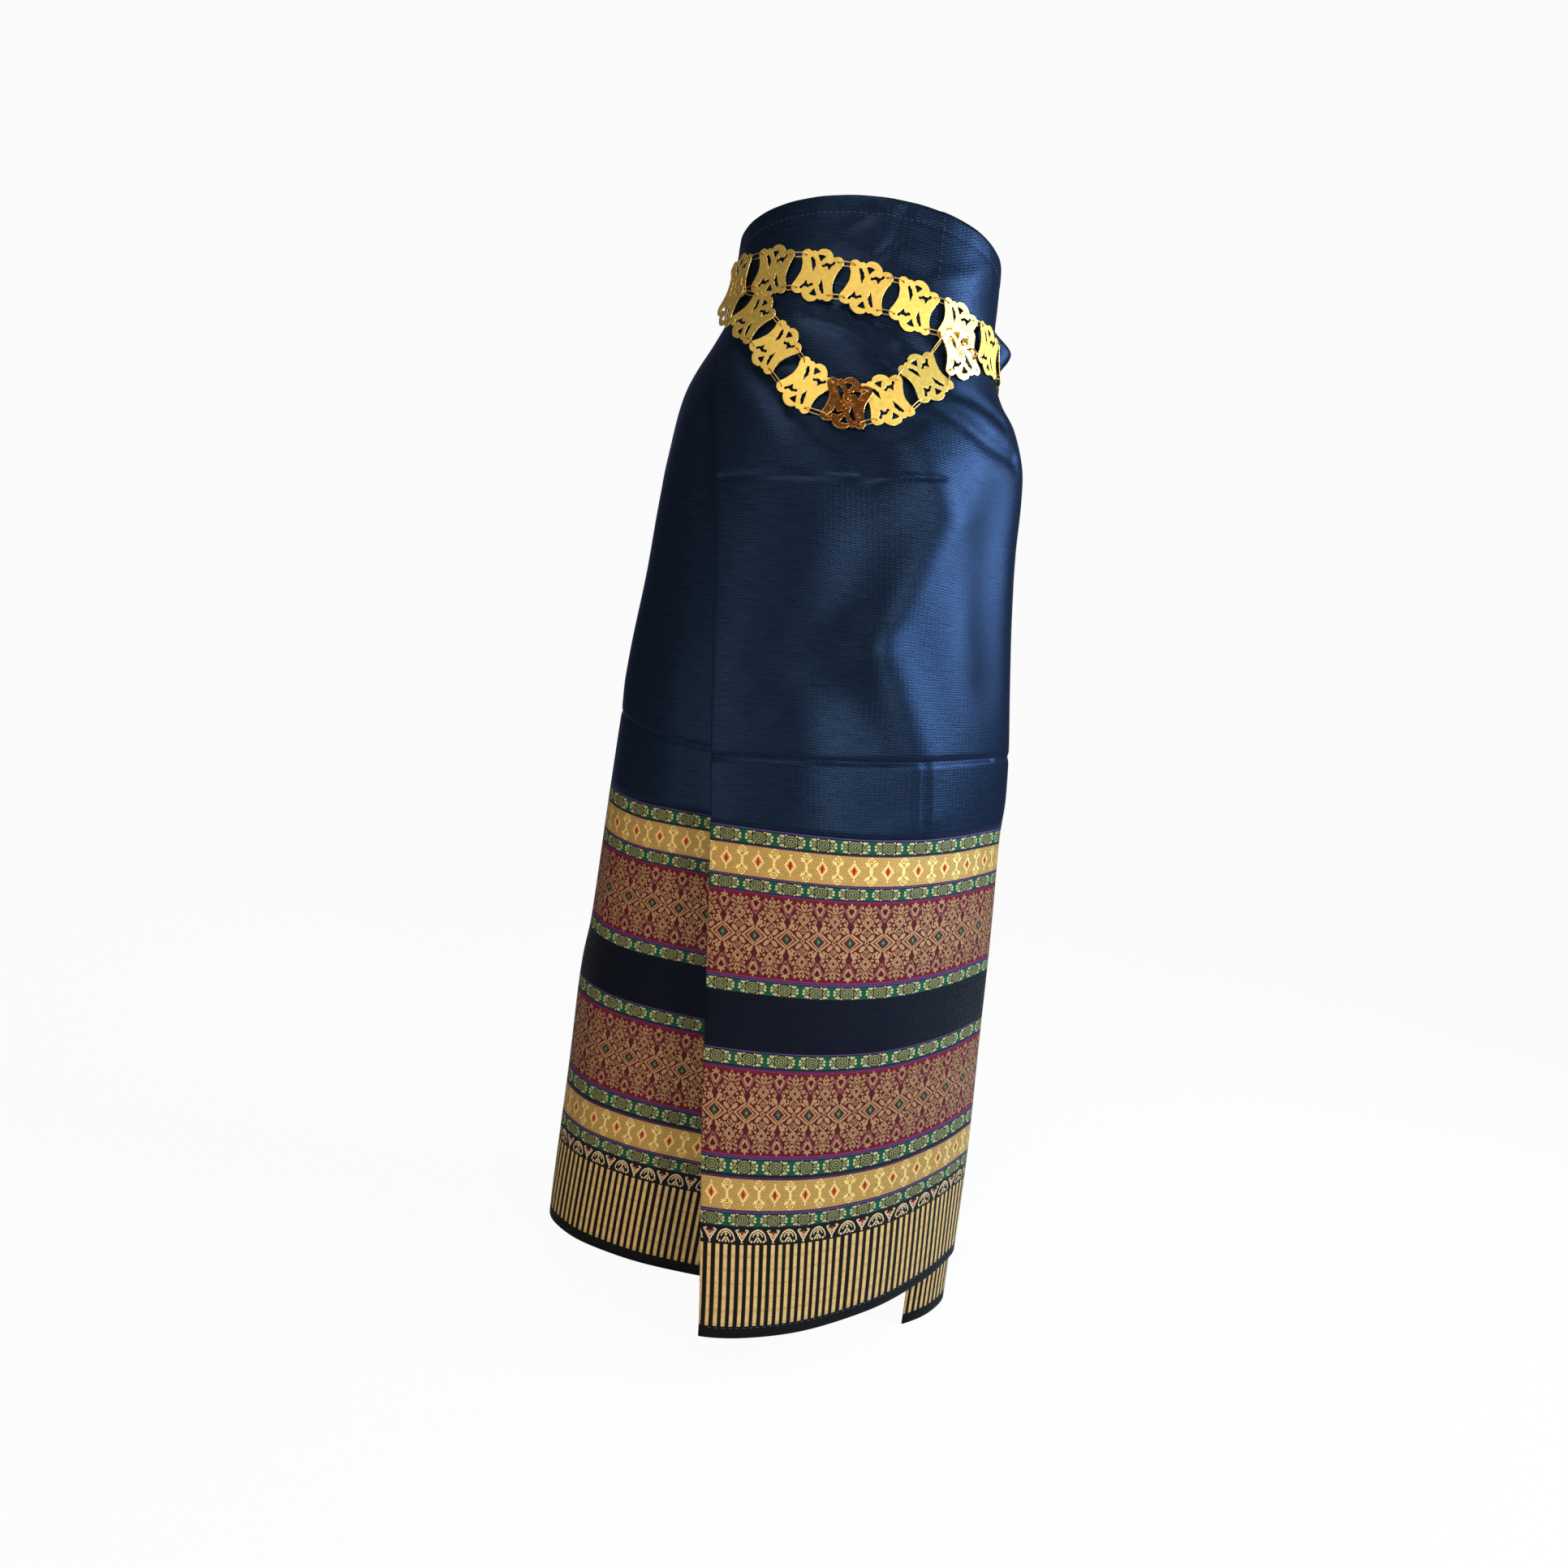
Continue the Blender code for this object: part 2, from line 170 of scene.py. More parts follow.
print("waist half width", SECTIONS[2, RIGHT], "hem half width", SECTIONS[-1, RIGHT])

# %% [markdown]
# ## Folds and creases
# The solids carry the large form. The finer relief is a height field over angle and height: each
# fold is a chain of points with a height and a width, and the cloth rises or sinks beside it on a
# soft bell curve. A sharp crease from folding is the same thing made narrow. All the layers of
# the wrap share one field, so they never cut through each other. A cloth simulation would give
# folds too, but not these ones, and this skirt hangs almost straight.

# %% Folds as lines of points
FOLDS = [  # height, width, then points of angle and height along the fold
    (-0.0040, 0.0070, [(-22, -0.006), (-9, -0.014), (2, -0.026), (10, -0.044)]),
    (-0.0040, 0.0080, [(-20, -0.028), (-7, -0.036), (3, -0.050), (9, -0.066)]),
    (-0.0028, 0.0060, [(8, -0.030), (17, -0.042), (26, -0.052)]),
    (-0.0026, 0.0070, [(12, -0.064), (20, -0.070), (30, -0.066)]),
    (-0.0034, 0.0090, [(-34, -0.050), (-16, -0.074), (0, -0.096), (12, -0.098)]),
    (-0.0046, 0.0110, [(-44, -0.060), (-27, -0.095), (-10, -0.140), (4, -0.160)]),
    (-0.0040, 0.0090, [(20, -0.088), (34, -0.098), (48, -0.112), (66, -0.118)]),
    (-0.0030, 0.0080, [(28, -0.076), (44, -0.078), (60, -0.086)]),
    (-0.0016, 0.0050, [(-30, 0.026), (-16, 0.040), (-4, 0.062)]),
    (-0.0014, 0.0045, [(2, 0.028), (8, 0.044), (10, 0.068)]),
    (-0.0012, 0.0090, [(-60, 0.030), (-40, 0.040), (-20, 0.036), (0, 0.028), (20, 0.020)]),
    (0.0010, 0.0080, [(30, 0.020), (45, 0.030), (60, 0.046)]),
    (-0.0012, 0.0090, [(52, 0.010), (66, 0.020), (80, 0.040)]),
    (0.0050, 0.0220, [(12, -0.120), (24, -0.150), (33, -0.188), (23, -0.250), (13, -0.305)]),
    (-0.0050, 0.0340, [(-2, -0.150), (8, -0.210), (4, -0.260), (-4, -0.320)]),
    (0.0050, 0.0220, [(13, -0.307), (22, -0.350), (31, -0.400), (34, -0.450)]),
    (-0.0040, 0.0300, [(2, -0.340), (12, -0.380), (22, -0.440)]),
    (-0.0035, 0.0300, [(56, -0.160), (54, -0.240), (58, -0.320)]),
    (0.0030, 0.0280, [(72, -0.130), (70, -0.220), (76, -0.330), (80, -0.440)]),
    (0.0030, 0.0300, [(-62, -0.120), (-66, -0.240), (-70, -0.360)]),
    (-0.0040, 0.0320, [(-80, -0.150), (-84, -0.300), (-88, -0.420), (-90, -0.600)]),
]
CREASES = [  # the marks where the cloth lay folded
    (-0.0016, 0.0030, [(-37, -0.175), (-20, -0.171), (-5, -0.167), (12, -0.161), (28, -0.155)]),
    (-0.0026, 0.0030, [(-26, -0.414), (-12, -0.410), (0, -0.407), (31, -0.401), (62, -0.399)]),
    (-0.0013, 0.0034, [(66, -0.399), (98, -0.397)]),
    (-0.0006, 0.0038, [(102, -0.397), (138, -0.396)]),
    (-0.0018, 0.0030, [(-100, -0.394), (-84, -0.395), (-56, -0.403), (-28, -0.411)]),
    (-0.0018, 0.0024, [(31, -0.401), (32, -0.430), (33, -0.463)]),
    (-0.0004, 0.0025, [(-13, -0.649), (4, -0.653), (18, -0.657)]),
]
SLOW_WAVE, FINE_WAVE = 0.0012, 0.0005      # heights of the waves below the hips
PLATE_COVER = 0.034    # how far from the belt's line the plates press on the cloth
print("folds", len(FOLDS), "creases", len(CREASES))

# %% The relief of the cloth
def near_line(angle, z, points):
    """How far each place lies from a line of points, in metres over the cloth."""
    reach = np.full(np.broadcast(angle, z).shape, 9.0)
    metre = np.radians(1.0) * 0.5 * (at_height(z, RIGHT) + at_height(z, FRONT))
    for (a0, z0), (a1, z1) in zip(points, points[1:]):
        side = (angle - a0) * metre
        way, drop = (a1 - a0) * metre, z1 - z0
        share = (side * way + (z - z0) * drop) / (way ** 2 + drop ** 2)
        share = np.clip(share, 0.0, 1.0)
        reach = np.minimum(reach, np.hypot(side - way * share, z - z0 - drop * share))
    return reach


def under_belt(angle, z):
    """1 where the belt's plates lie on the cloth, so that no fold may rise there."""
    swag = near_line(angle, z, [(spot[0], spot[1]) for spot in SWAG])
    turn_row = np.abs(z - BELT_Z - belt_rise(angle))
    return smooth_step((PLATE_COVER - np.minimum(swag, turn_row)) / 0.010)


def relief(angle, z):
    """How far the folds and creases move the cloth outward."""
    turn = (angle + 180.0) % 360.0 - 180.0
    rise = 0.0 * turn * z
    for height, width, points in FOLDS + CREASES:
        rise = rise + height * np.exp(-(near_line(turn, z, points) / width) ** 2)
    slow = np.sin(np.radians(3.0 * turn + 40.0)) * np.sin(9.0 * z + 0.7)
    fine = np.sin(np.radians(11.0 * turn) + 21.0 * z) * np.sin(np.radians(5.0 * turn) - 13.0 * z)
    free = smooth_step((-0.10 - z) / 0.12)
    rise = rise + free * (SLOW_WAVE * slow + FINE_WAVE * fine)
    pressed = under_belt(turn, z)
    return rise * (1.0 - pressed) + np.minimum(rise, 0.0002) * pressed


print("the zigzag's ridge stands out by", relief(24.0, -0.150).round(4))

# %% [markdown]
# ## The wrap as one strip
# Seen from above, the wrap is one long line: the inner end, once round the body, a hidden fold,
# back under the front to the flap's edge, a second fold there, and the flap round to the hip.
# Every row of the sheet follows that line at its own height. The distance run along the strip is
# kept too, because the woven pattern has to follow the thread, not the angle.

# %% How each layer hangs
HITCH_RIGHT, HITCH_LEFT = 0.012, 0.010
RIPPLE = 0.0028


def flap_lift(angle, z):
    """How far the flap stands forward of the under layer."""
    return at_height(z, STAND) * smooth_step((75.0 - (angle - 360.0)) / 85.0)


def middle_lift(angle, z):
    """The same for the hidden layer that runs back from the flap's edge to the inner fold."""
    return at_height(z, STAND) * smooth_step((35.0 - (angle - 360.0)) / 45.0)


def end_drop(angle, z):
    """The inner end hangs lower; before the back it is level again, under the outer end."""
    return END_DROP * smooth_step((145.0 - angle) / 50.0) * smooth_step((-0.10 - z) / 0.35)


def hitch(angle, z):
    """How much higher the cloth hangs at the sides and the back than in front."""
    turn = (angle + 180.0) % 360.0 - 180.0
    low = smooth_step((-0.24 - z) / 0.22)
    right = HITCH_RIGHT * smooth_step((turn - 8.0) / 66.0)
    back = HITCH_LEFT * smooth_step((z - HEM_Z) / 0.43)
    left = back * smooth_step((-turn - 46.0) / 40.0)
    behind = smooth_step((turn - 110.0) / 70.0)
    return low * np.where(turn > 0.0, right + (back - right) * behind, left)


def flap_ripple(angle, z):
    """The flap's free edge and hem hang in a few shallow waves."""
    free = smooth_step((z + 0.20) / -0.40) * smooth_step((420.0 - angle) / 60.0)
    return free * RIPPLE * np.sin(np.radians(4.3 * (angle - 345.0)) + 5.0 * z)


print("the flap's edge stands off the layer under it by", SECTIONS[-1, STAND], "at the hem")

# %% Lay the strip round the body
ONCE_STEPS, FOLD_STEPS, MIDDLE_STEPS, FLAP_STEPS = 190, 5, 24, 118


def fold_round(first, last, way):
    """Carries the cloth round a fold from first to last in a half circle that bulges along way."""
    middle, half = (first + last) / 2, np.linalg.norm(first - last, axis=-1) / 2
    aside = (first - last) / (2 * half[:, None])
    way = way / np.linalg.norm(way, axis=-1)[:, None]
    turns = np.linspace(0.0, math.pi, FOLD_STEPS + 2)[1:-1]
    arcs = [middle + half[:, None] * (aside * math.cos(t) + way * math.sin(t)) for t in turns]
    return np.stack(arcs, axis=1)


def wrap_points(row_heights):
    """The strip's points, row by row, and how far each lies from the flap's edge."""
    rows = np.asarray(row_heights)[:, None]

    def place(angle, shift, lift, drop=0.0):
        z = slanted(rows, angle)
        points = cloth_point(angle, z, shift + relief(angle, z), lift(angle, z) if lift else 0.0)
        points[..., 2] += hitch(angle, z) - (drop(angle, z) if drop else 0.0)
        return points

    edge = 360.0 - at_height(rows, EDGE)
    once_angles = np.linspace(END_ANGLE, FOLD_ANGLE, ONCE_STEPS + 1)[None, :]
    middle_angles = FOLD_ANGLE + (edge - FOLD_ANGLE) * np.linspace(0, 1, MIDDLE_STEPS + 1)
    flap_angles = edge + (FLAP_END - edge) * np.linspace(0, 1, FLAP_STEPS + 1)
    rippled = lambda angle, z: flap_lift(angle, z) + flap_ripple(angle, z)
    once = place(once_angles, 0.0, None, end_drop)
    middle = place(middle_angles, LAYER, lambda a, z: middle_lift(a, z) + flap_ripple(a, z))
    flap = place(flap_angles, 2 * LAYER, rippled)
    inner = fold_round(once[:, -1], middle[:, 0], once[:, -1] - once[:, -2])
    outer = fold_round(middle[:, -1], flap[:, 0], flap[:, 0] - flap[:, 1])
    points = np.concatenate([once, inner, middle, outer, flap], axis=1)
    steps = np.linalg.norm(np.diff(points, axis=1), axis=-1)
    run = np.concatenate([np.zeros((len(rows), 1)), np.cumsum(steps, axis=1)], axis=1)
    edge_column = once.shape[1] + FOLD_STEPS * 2 + middle.shape[1]
    return points, run - run[:, edge_column:edge_column + 1]


sample, sample_run = wrap_points(np.array([-0.50, -0.80]))
print("strip columns", sample.shape[1], "length", (sample_run[:, -1] - sample_run[:, 0]).round(3))

# %% [markdown]
# ## Cloth sheets
# A sheet starts as a flat grid and is carried onto its worn form, point by point. Its UV map holds
# real lengths: across is the distance along the strip, down is the distance below its top, so a
# weave drawn on it has the right size everywhere. Solidify then gives the thickness, with its own
# material on the inner side.

# %% A sheet from a grid
def finish_piece(name, shape, materials, slot, smooth=True):
    """Makes a piece of a bmesh, at the origin, and lets it ride on the skirt."""
    mesh = bpy.data.meshes.new(name)
    shape.to_mesh(mesh)
    shape.free()
    for material in materials:
        mesh.materials.append(material)
    if smooth:
        mesh.shade_smooth()
    piece = bpy.data.objects.new(name, mesh)
    bpy.context.scene.collection.objects.link(piece)
    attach(piece, "root")
    return piece


def sheet_shape(points, across, down, band_of_row):
    """A grid carried onto points (rows by columns); down says the UV height at each row's ends."""
    rows, columns = points.shape[:2]
    shape = bmesh.new()
    bmesh.ops.create_grid(shape, x_segments=columns - 1, y_segments=rows - 1, size=1.0)
    spots = {}
    for vert in shape.verts:
        column = round((vert.co.x + 1.0) / 2.0 * (columns - 1))
        row = round((1.0 - vert.co.y) / 2.0 * (rows - 1))
        spots[vert] = (row, column)
        vert.co = points[row, column]
    weave = shape.loops.layers.uv.new("weave")
    for face in shape.faces:
        top = min(spots[vert][0] for vert in face.verts)
        face.material_index = band_of_row[top]
        for corner in face.loops:
            row, column = spots[corner.vert]
            corner[weave].uv = (across[row, column], down[top][row - top])
    return shape


def thicken(piece, thickness, inner_offset):
    """Gives a sheet its thickness, with the inner side's material so many slots further on."""
    wall = piece.modifiers.new("Thickness", "SOLIDIFY")
    wall.thickness = thickness
    wall.offset = 0.0
    wall.use_even_offset = True
    wall.material_offset = inner_offset
    print(piece.name, "faces before its thickness", len(piece.data.polygons))


print("helpers for sheets", [made.__name__ for made in (finish_piece, sheet_shape, thicken)])

# %% [markdown]
# ## Formulas as nodes
# The woven patterns are drawn by formulas: a diamond is where two distances add up to less than a
# limit, a ring is where a distance is close to one. A small class lets those formulas be written
# as ordinary sums in Python, and makes a Math node of each step. Drawing them from the UV map's
# real lengths keeps the motifs at their woven size, with no picture involved.

# %% Terms that become Math nodes
MM = 1000.0


def math_node(kind, *values):
    """A Math node over terms and plain numbers."""
    tree = next(value for value in values if isinstance(value, Term)).socket.id_data
    node = tree.nodes.new("ShaderNodeMath")
    node.operation = kind
    for slot, value in zip(node.inputs, values):
        if isinstance(value, Term):
            tree.links.new(value.socket, slot)
        else:
            slot.default_value = value
    return Term(node.outputs[0])


class Term:
    """A number that changes over a surface."""

    def __init__(self, socket):
        self.socket = socket

    def __add__(self, other):
        return math_node("ADD", self, other)

    def __sub__(self, other):
        return math_node("SUBTRACT", self, other)

    def __rsub__(self, other):
        return math_node("SUBTRACT", other, self)

    def __mul__(self, other):
        return math_node("MULTIPLY", self, other)

    def __lt__(self, limit):
        return math_node("LESS_THAN", self, limit)

    def __gt__(self, limit):
        return math_node("GREATER_THAN", self, limit)

    def __abs__(self):
        return math_node("ABSOLUTE", self)

    def wrapped(self, half):
        """The same number repeated between -half and half."""
        return math_node("WRAP", self, half, -half)

    def wave(self, length):
        """A sine of that wave length, from -1 to 1."""
        return math_node("SINE", self * (2.0 * math.pi / length))


print("a Term's own formulas", [name for name in vars(Term) if not name.startswith("_")])

# %% Shapes from formulas
def either(*masks):
    """1 where any of the masks is."""
    whole = masks[0]
    for mask in masks[1:]:
        whole = math_node("MAXIMUM", whole, mask)
    return whole


def diamond(x, y, wide, high):
    """An upright diamond with these half sizes."""
    return (abs(x) * (1.0 / wide) + abs(y) * (1.0 / high)) < 1.0


def diamond_ring(x, y, wide, high, share):
    """The outline of a diamond, as thick as that share of its half size."""
    return abs(abs(x) * (1.0 / wide) + abs(y) * (1.0 / high) - 1.0) < share


def oval(x, y, long, short, lean=0.0):
    """A filled oval with these half sizes, leaning by so many degrees."""
    c, s = math.cos(math.radians(lean)), math.sin(math.radians(lean))
    along = x * (c / long) + y * (s / long)
    aside = y * (c / short) - x * (s / short)
    return (along * along + aside * aside) < 1.0


def ring(x, y, radius, half):
    """A round line of that radius."""
    return abs(math_node("SQRT", x * x + y * y) - radius) < half


def bar(x, y, start, end, half):
    """A straight stroke from start to end."""
    way = Vector(end) - Vector(start)
    c, s = way.x / way.length, way.y / way.length
    along = (x - start[0]) * c + (y - start[1]) * s
    aside = (y - start[1]) * c - (x - start[0]) * s
    return (abs(along - way.length / 2) < way.length / 2) * (abs(aside) < half)


print("shapes", [made.__name__ for made in (diamond, diamond_ring, oval, ring, bar)])

# %% Colours and groups
def colour(red, green, blue):
    """A colour as a screen shows it, 0 to 255, made linear for the shader."""
    parts = [v / 255.0 for v in (red, green, blue)]
    linear = [v / 12.92 if v <= 0.04045 else ((v + 0.055) / 1.055) ** 2.4 for v in parts]
    return (*linear, 1.0)


def join(tree, value, slot):
    """Links a term or a socket into a slot, or writes a plain value there."""
    if isinstance(value, Term):
        value = value.socket
    if isinstance(value, bpy.types.NodeSocket):
        tree.links.new(value, slot)
    else:
        slot.default_value = value


def tint(mask, under, over):
    """The colour over where the mask is 1, and under where it is 0."""
    tree = mask.socket.id_data
    node = tree.nodes.new("ShaderNodeMix")
    node.data_type = "RGBA"
    for value, slot in ((mask, node.inputs[0]), (under, node.inputs[6]), (over, node.inputs[7])):
        join(tree, value, slot)
    return node.outputs[2]


def coats(painted, *layers):
    """Coats of colour, one over the other: each layer is a mask and the colour painted there."""
    for mask, shade in layers:
        painted = tint(mask, painted, colour(*shade))
    return painted


def new_group(name, inputs, outputs):
    """A shader node group with these sockets: its input terms, and a call that sets an output."""
    group = bpy.data.node_groups.new(name, "ShaderNodeTree")
    for label in inputs:
        group.interface.new_socket(label, in_out="INPUT", socket_type="NodeSocketFloat")
    for label, kind in outputs:
        group.interface.new_socket(label, in_out="OUTPUT", socket_type="NodeSocket" + kind)
    entry = group.nodes.new("NodeGroupInput")
    leave = group.nodes.new("NodeGroupOutput")
    terms = [Term(entry.outputs[label]) for label in inputs]
    return group, terms, lambda label, value: join(group, value, leave.inputs[label])


print("formula helpers ready, lengths in the patterns are millimetres")

# %% [markdown]
# ## Thread
# Up close both cloths are rows of thread: slightly uneven, a little lighter and darker from one
# to the next, with thick slubs here and there. One group makes that for every cloth, from noise
# that is stretched along the thread. It puts out a shade and a height, never a shader.

# %% The thread group
def noise(tree, x, y, scale, detail=2.0):
    """Noise over a flat place, as a term from 0 to 1."""
    place = tree.nodes.new("ShaderNodeCombineXYZ")
    join(tree, x, place.inputs[0])
    join(tree, y, place.inputs[1])
    cloud = tree.nodes.new("ShaderNodeTexNoise")
    cloud.inputs["Scale"].default_value = scale
    cloud.inputs["Detail"].default_value = detail
    tree.links.new(place.outputs[0], cloud.inputs["Vector"])
    return Term(cloud.outputs[0])


def make_thread_group():
    """Threads with slubs and specks."""
    group, (across, down), put = new_group(
        "uneven_thread", ["Across", "Down"],
        [("Shade", "Float"), ("Height", "Float")])
    slub = noise(group, across * 0.10, down * 1.6, 1.0)
    speck = noise(group, across * 0.9, down * 1.9, 1.0, 1.0)
    put("Shade", slub * 0.7 + speck * 0.5 - 0.1)
    put("Height", slub * 0.6 + speck * 0.4)
    return group


def make_satin_group():
    """Floats of silk in a fine zigzag."""
    group, (across, down), put = new_group(
        "zigzag_satin", ["Across", "Down"],
        [("Line", "Float"), ("Height", "Float")])
    zigzag = (down + abs(across.wrapped(2.4)) * 0.60).wave(2.3)
    slub = noise(group, across * 0.05, down * 0.9, 1.0, 3.0)
    put("Line", zigzag * 0.42 + slub * 1.6 - 0.3)
    put("Height", zigzag * 0.30 + slub * 1.2 + noise(group, across * 0.16, down * 2.0, 1.0))
    return group


THREAD = make_thread_group()
SATIN = make_satin_group()


def use_group(tree, group, **values):
    """Places a group in a material, and returns its outputs by name."""
    node = tree.nodes.new("ShaderNodeGroup")
    node.node_tree = group
    for label, value in values.items():
        join(tree, value, node.inputs[label])
    return node.outputs


def new_material(name, uv_map=None, **plain):
    """A material and its shader, with terms in millimetres: on a UV map, or across and up."""
    material = bpy.data.materials.new(name)
    material.use_nodes = True
    tree = material.node_tree
    shader = tree.nodes["Principled BSDF"]
    for label, value in plain.items():
        shader.inputs[label.replace("_", " ")].default_value = value
    if uv_map:
        place = tree.nodes.new("ShaderNodeUVMap")
        place.uv_map = uv_map
        spot, axes = place.outputs["UV"], (0, 1)
    else:
        spot, axes = tree.nodes.new("ShaderNodeTexCoord").outputs["Object"], (0, 2)
    parts = tree.nodes.new("ShaderNodeSeparateXYZ")
    tree.links.new(spot, parts.inputs[0])
    return material, tree, shader, *(Term(parts.outputs[n]) * MM for n in axes)


def add_bump(tree, shader, height, distance, strength=1.0):
    """A fine relief of the surface's light, that many metres high."""
    bump = tree.nodes.new("ShaderNodeBump")
    bump.inputs["Distance"].default_value = distance
    bump.inputs["Strength"].default_value = strength
    join(tree, height, bump.inputs["Height"])
    tree.links.new(bump.outputs[0], shader.inputs["Normal"])


print("groups", [group.name for group in bpy.data.node_groups])

# %% [markdown]
# ## Navy satin
# The satin is nearly black where it faces the room and a clear blue where it mirrors the window,
# because its long floats of silk shine along one direction. The shader is therefore partly
# metallic with a blue tint: a plain matt blue could not be both. A zigzag weave breaks the shine
# into fine lines, as on the real cloth. Its inner side shows the same threads with less shine.

# %% Satin outside and inside
SATIN_SHINE = colour(110, 155, 235)


def make_satin(name, dark, light, metallic, roughness):
    """Satin between two shades, partly metallic, a little rougher from thread to thread."""
    material, tree, shader, across, down = new_material(
        name, "weave", Metallic=metallic, Specular_IOR_Level=0.35, Specular_Tint=SATIN_SHINE)
    thread = use_group(tree, THREAD, Across=across, Down=down)
    satin = use_group(tree, SATIN, Across=across, Down=down)
    mask = Term(satin["Line"]) * 0.70 + Term(thread["Shade"]) * 0.40
    join(tree, tint(mask, dark, light), shader.inputs["Base Color"])
    join(tree, Term(thread["Shade"]) * 0.16 + (roughness - 0.08), shader.inputs["Roughness"])
    add_bump(tree, shader, Term(satin["Height"]) + Term(thread["Height"]) * 0.6, 0.00020, 0.7)
    return material


satin = make_satin("satin_outside", colour(4, 7, 11), colour(27, 40, 58), 0.55, 0.36)
satin_inside = make_satin("satin_inside", colour(10, 16, 30), colour(24, 36, 62), 0.20, 0.60)
print("satin materials", satin.name, satin_inside.name)

# %% [markdown]
# ## The woven border
# The border is thirteen bands, one below the other, and every motif in it repeats at the same
# distance, 27.5 mm. The table gives each band's kind and its heights in millimetres below the
# seam: where its faces begin, where its own pattern begins and ends, and where its faces end.
# Each kind is a group of formulas that is drawn from the distance along the repeat and the height
# in the band, and each has its own material, so that no surface has to work out the other bands.

# %% Bands and their repeat
BANDS = [  # kind, faces from, pattern from, pattern to, faces to
    ("green", 0.0, 0.8, 13.0, 13.7),
    ("gold", 13.7, 14.4, 40.5, 41.1),
    ("green", 41.1, 41.8, 52.8, 53.1),
    ("crimson", 53.1, 53.5, 126.2, 126.9),
    ("green", 126.9, 127.6, 139.3, 139.5),
    ("damask", 139.5, 139.5, 187.0, 187.7),
    ("green", 187.7, 188.4, 200.8, 201.8),
    ("crimson", 201.8, 202.9, 278.1, 278.8),
    ("green", 278.8, 279.5, 293.2, 295.0),
    ("gold", 295.0, 296.7, 324.2, 325.2),
    ("green", 325.2, 326.2, 337.9, 339.0),
    ("lace", 339.0, 340.0, 352.7, 353.7),
    ("stripe", 353.7, 354.8, 423.9, 434.0),
]
BAND_HEIGHT = {"green": 12.0, "gold": 26.5, "crimson": 73.5, "damask": 49.0, "lace": 11.7,
               "stripe": 69.1}
REPEAT = 27.5
STRIPES = 4            # to one repeat
CELL = 0.45            # one crossing of the threads


def band_group(kind, draw):
    """A band's group: draw turns the place in the repeat into a colour and a mask of gold."""
    group, (across, down), put = new_group(
        kind + "_band", ["Across", "Down"], [("Color", "Color"), ("Gold", "Float")])
    half = REPEAT / 2
    cell = lambda term: (math_node("FLOOR", term * (1.0 / CELL)) + 0.5) * CELL
    across, down = cell(across), cell(down)
    beside = abs(across.wrapped(half))
    painted, gold = draw(across, down, beside, half - beside)
    put("Color", painted)
    put("Gold", gold)
    return group


print("bands", len(BANDS), "down to", BANDS[-1][-1], "millimetres")

# %% The green and gold bands
def draw_green(across, down, x, h):
    """Teal, with a wide flower of rings and small petals, and a slim gap to the next one."""
    y = abs(down - 6.2)
    teal = tint((across + down).wave(1.1) > 0.1, colour(6, 60, 40), colour(12, 78, 54))
    inside = ((x * 0.50 + y) < 8.4) * (x < 11.6)
    reach = math_node("SQRT", x * x + y * y * 1.2)
    rings = (reach.wave(2.0) > 0.25) * (reach < 6.2)
    petals = either(ring(x - 7.3, y - 3.9, 0.0, 1.15), ring(x - 10.9, y - 1.4, 0.0, 1.15),
                    ring(x - 9.3, y - 3.9, 0.0, 0.85), ring(x - 4.6, y - 4.7, 0.0, 0.75))
    lattice = either(bar(x, y, (6.3, 0.2), (8.8, 2.8), 0.40), bar(x, y, (7.6, 1.6), (9.6, 0.0), 0.40))
    lines = either(down > 11.6, abs(down - 0.6) < 0.5)
    painted = coats(teal, (inside, (34, 46, 28)), (either(rings, lattice), (134, 130, 86)),
                    (petals, (178, 168, 120)), (lines, (18, 14, 30)), (down < 0.1, (84, 58, 112)))
    return painted, either(petals, rings) * 0.4


def draw_gold(across, down, x, h):
    """Gold twill with upright diamonds, and between them a standing figure of leaves."""
    y = abs(down - 13.2)
    twill = (across * 0.8 - down).wave(2.3) > 0.1
    ground = tint(twill, colour(190, 152, 86), colour(142, 106, 52))
    pale = either(diamond_ring(x, y, 4.5, 6.3, 0.17), diamond(x, y - 8.4, 0.9, 1.6),
                  diamond_ring(h, y - 9.7, 2.8, 2.6, 0.28), diamond(h, y - 9.7, 0.9, 0.9),
                  oval(h - 3.2, y - 6.4, 2.4, 1.15, 38.0), oval(h - 1.3, y - 4.6, 1.9, 0.9, 62.0),
                  oval(h, y, 1.25, 4.3), bar(h, y, (1.6, 6.0), (4.4, 5.0), 0.55))
    heart = either(bar(x, y, (0, -1.0), (0, 2.9), 0.6), diamond(x, y, 1.5, 1.0))
    vein = either(bar(h, y, (0.2, 7.0), (0.9, 4.0), 0.35), ring(h, y - 9.7, 1.6, 0.24))
    painted = coats(ground, (pale, (226, 194, 118)), (diamond(x, y, 3.5, 5.0), (206, 160, 96)),
                    (diamond(x, y, 2.5, 4.4), (184, 78, 42)), (heart, (122, 28, 22)),
                    (vein, (150, 112, 56)), (either(down < 0.6, down > 26.0), (62, 38, 66)))
    return painted, twill * -0.2 + 1.0


print("the gold band is", BAND_HEIGHT["gold"], "millimetres high")

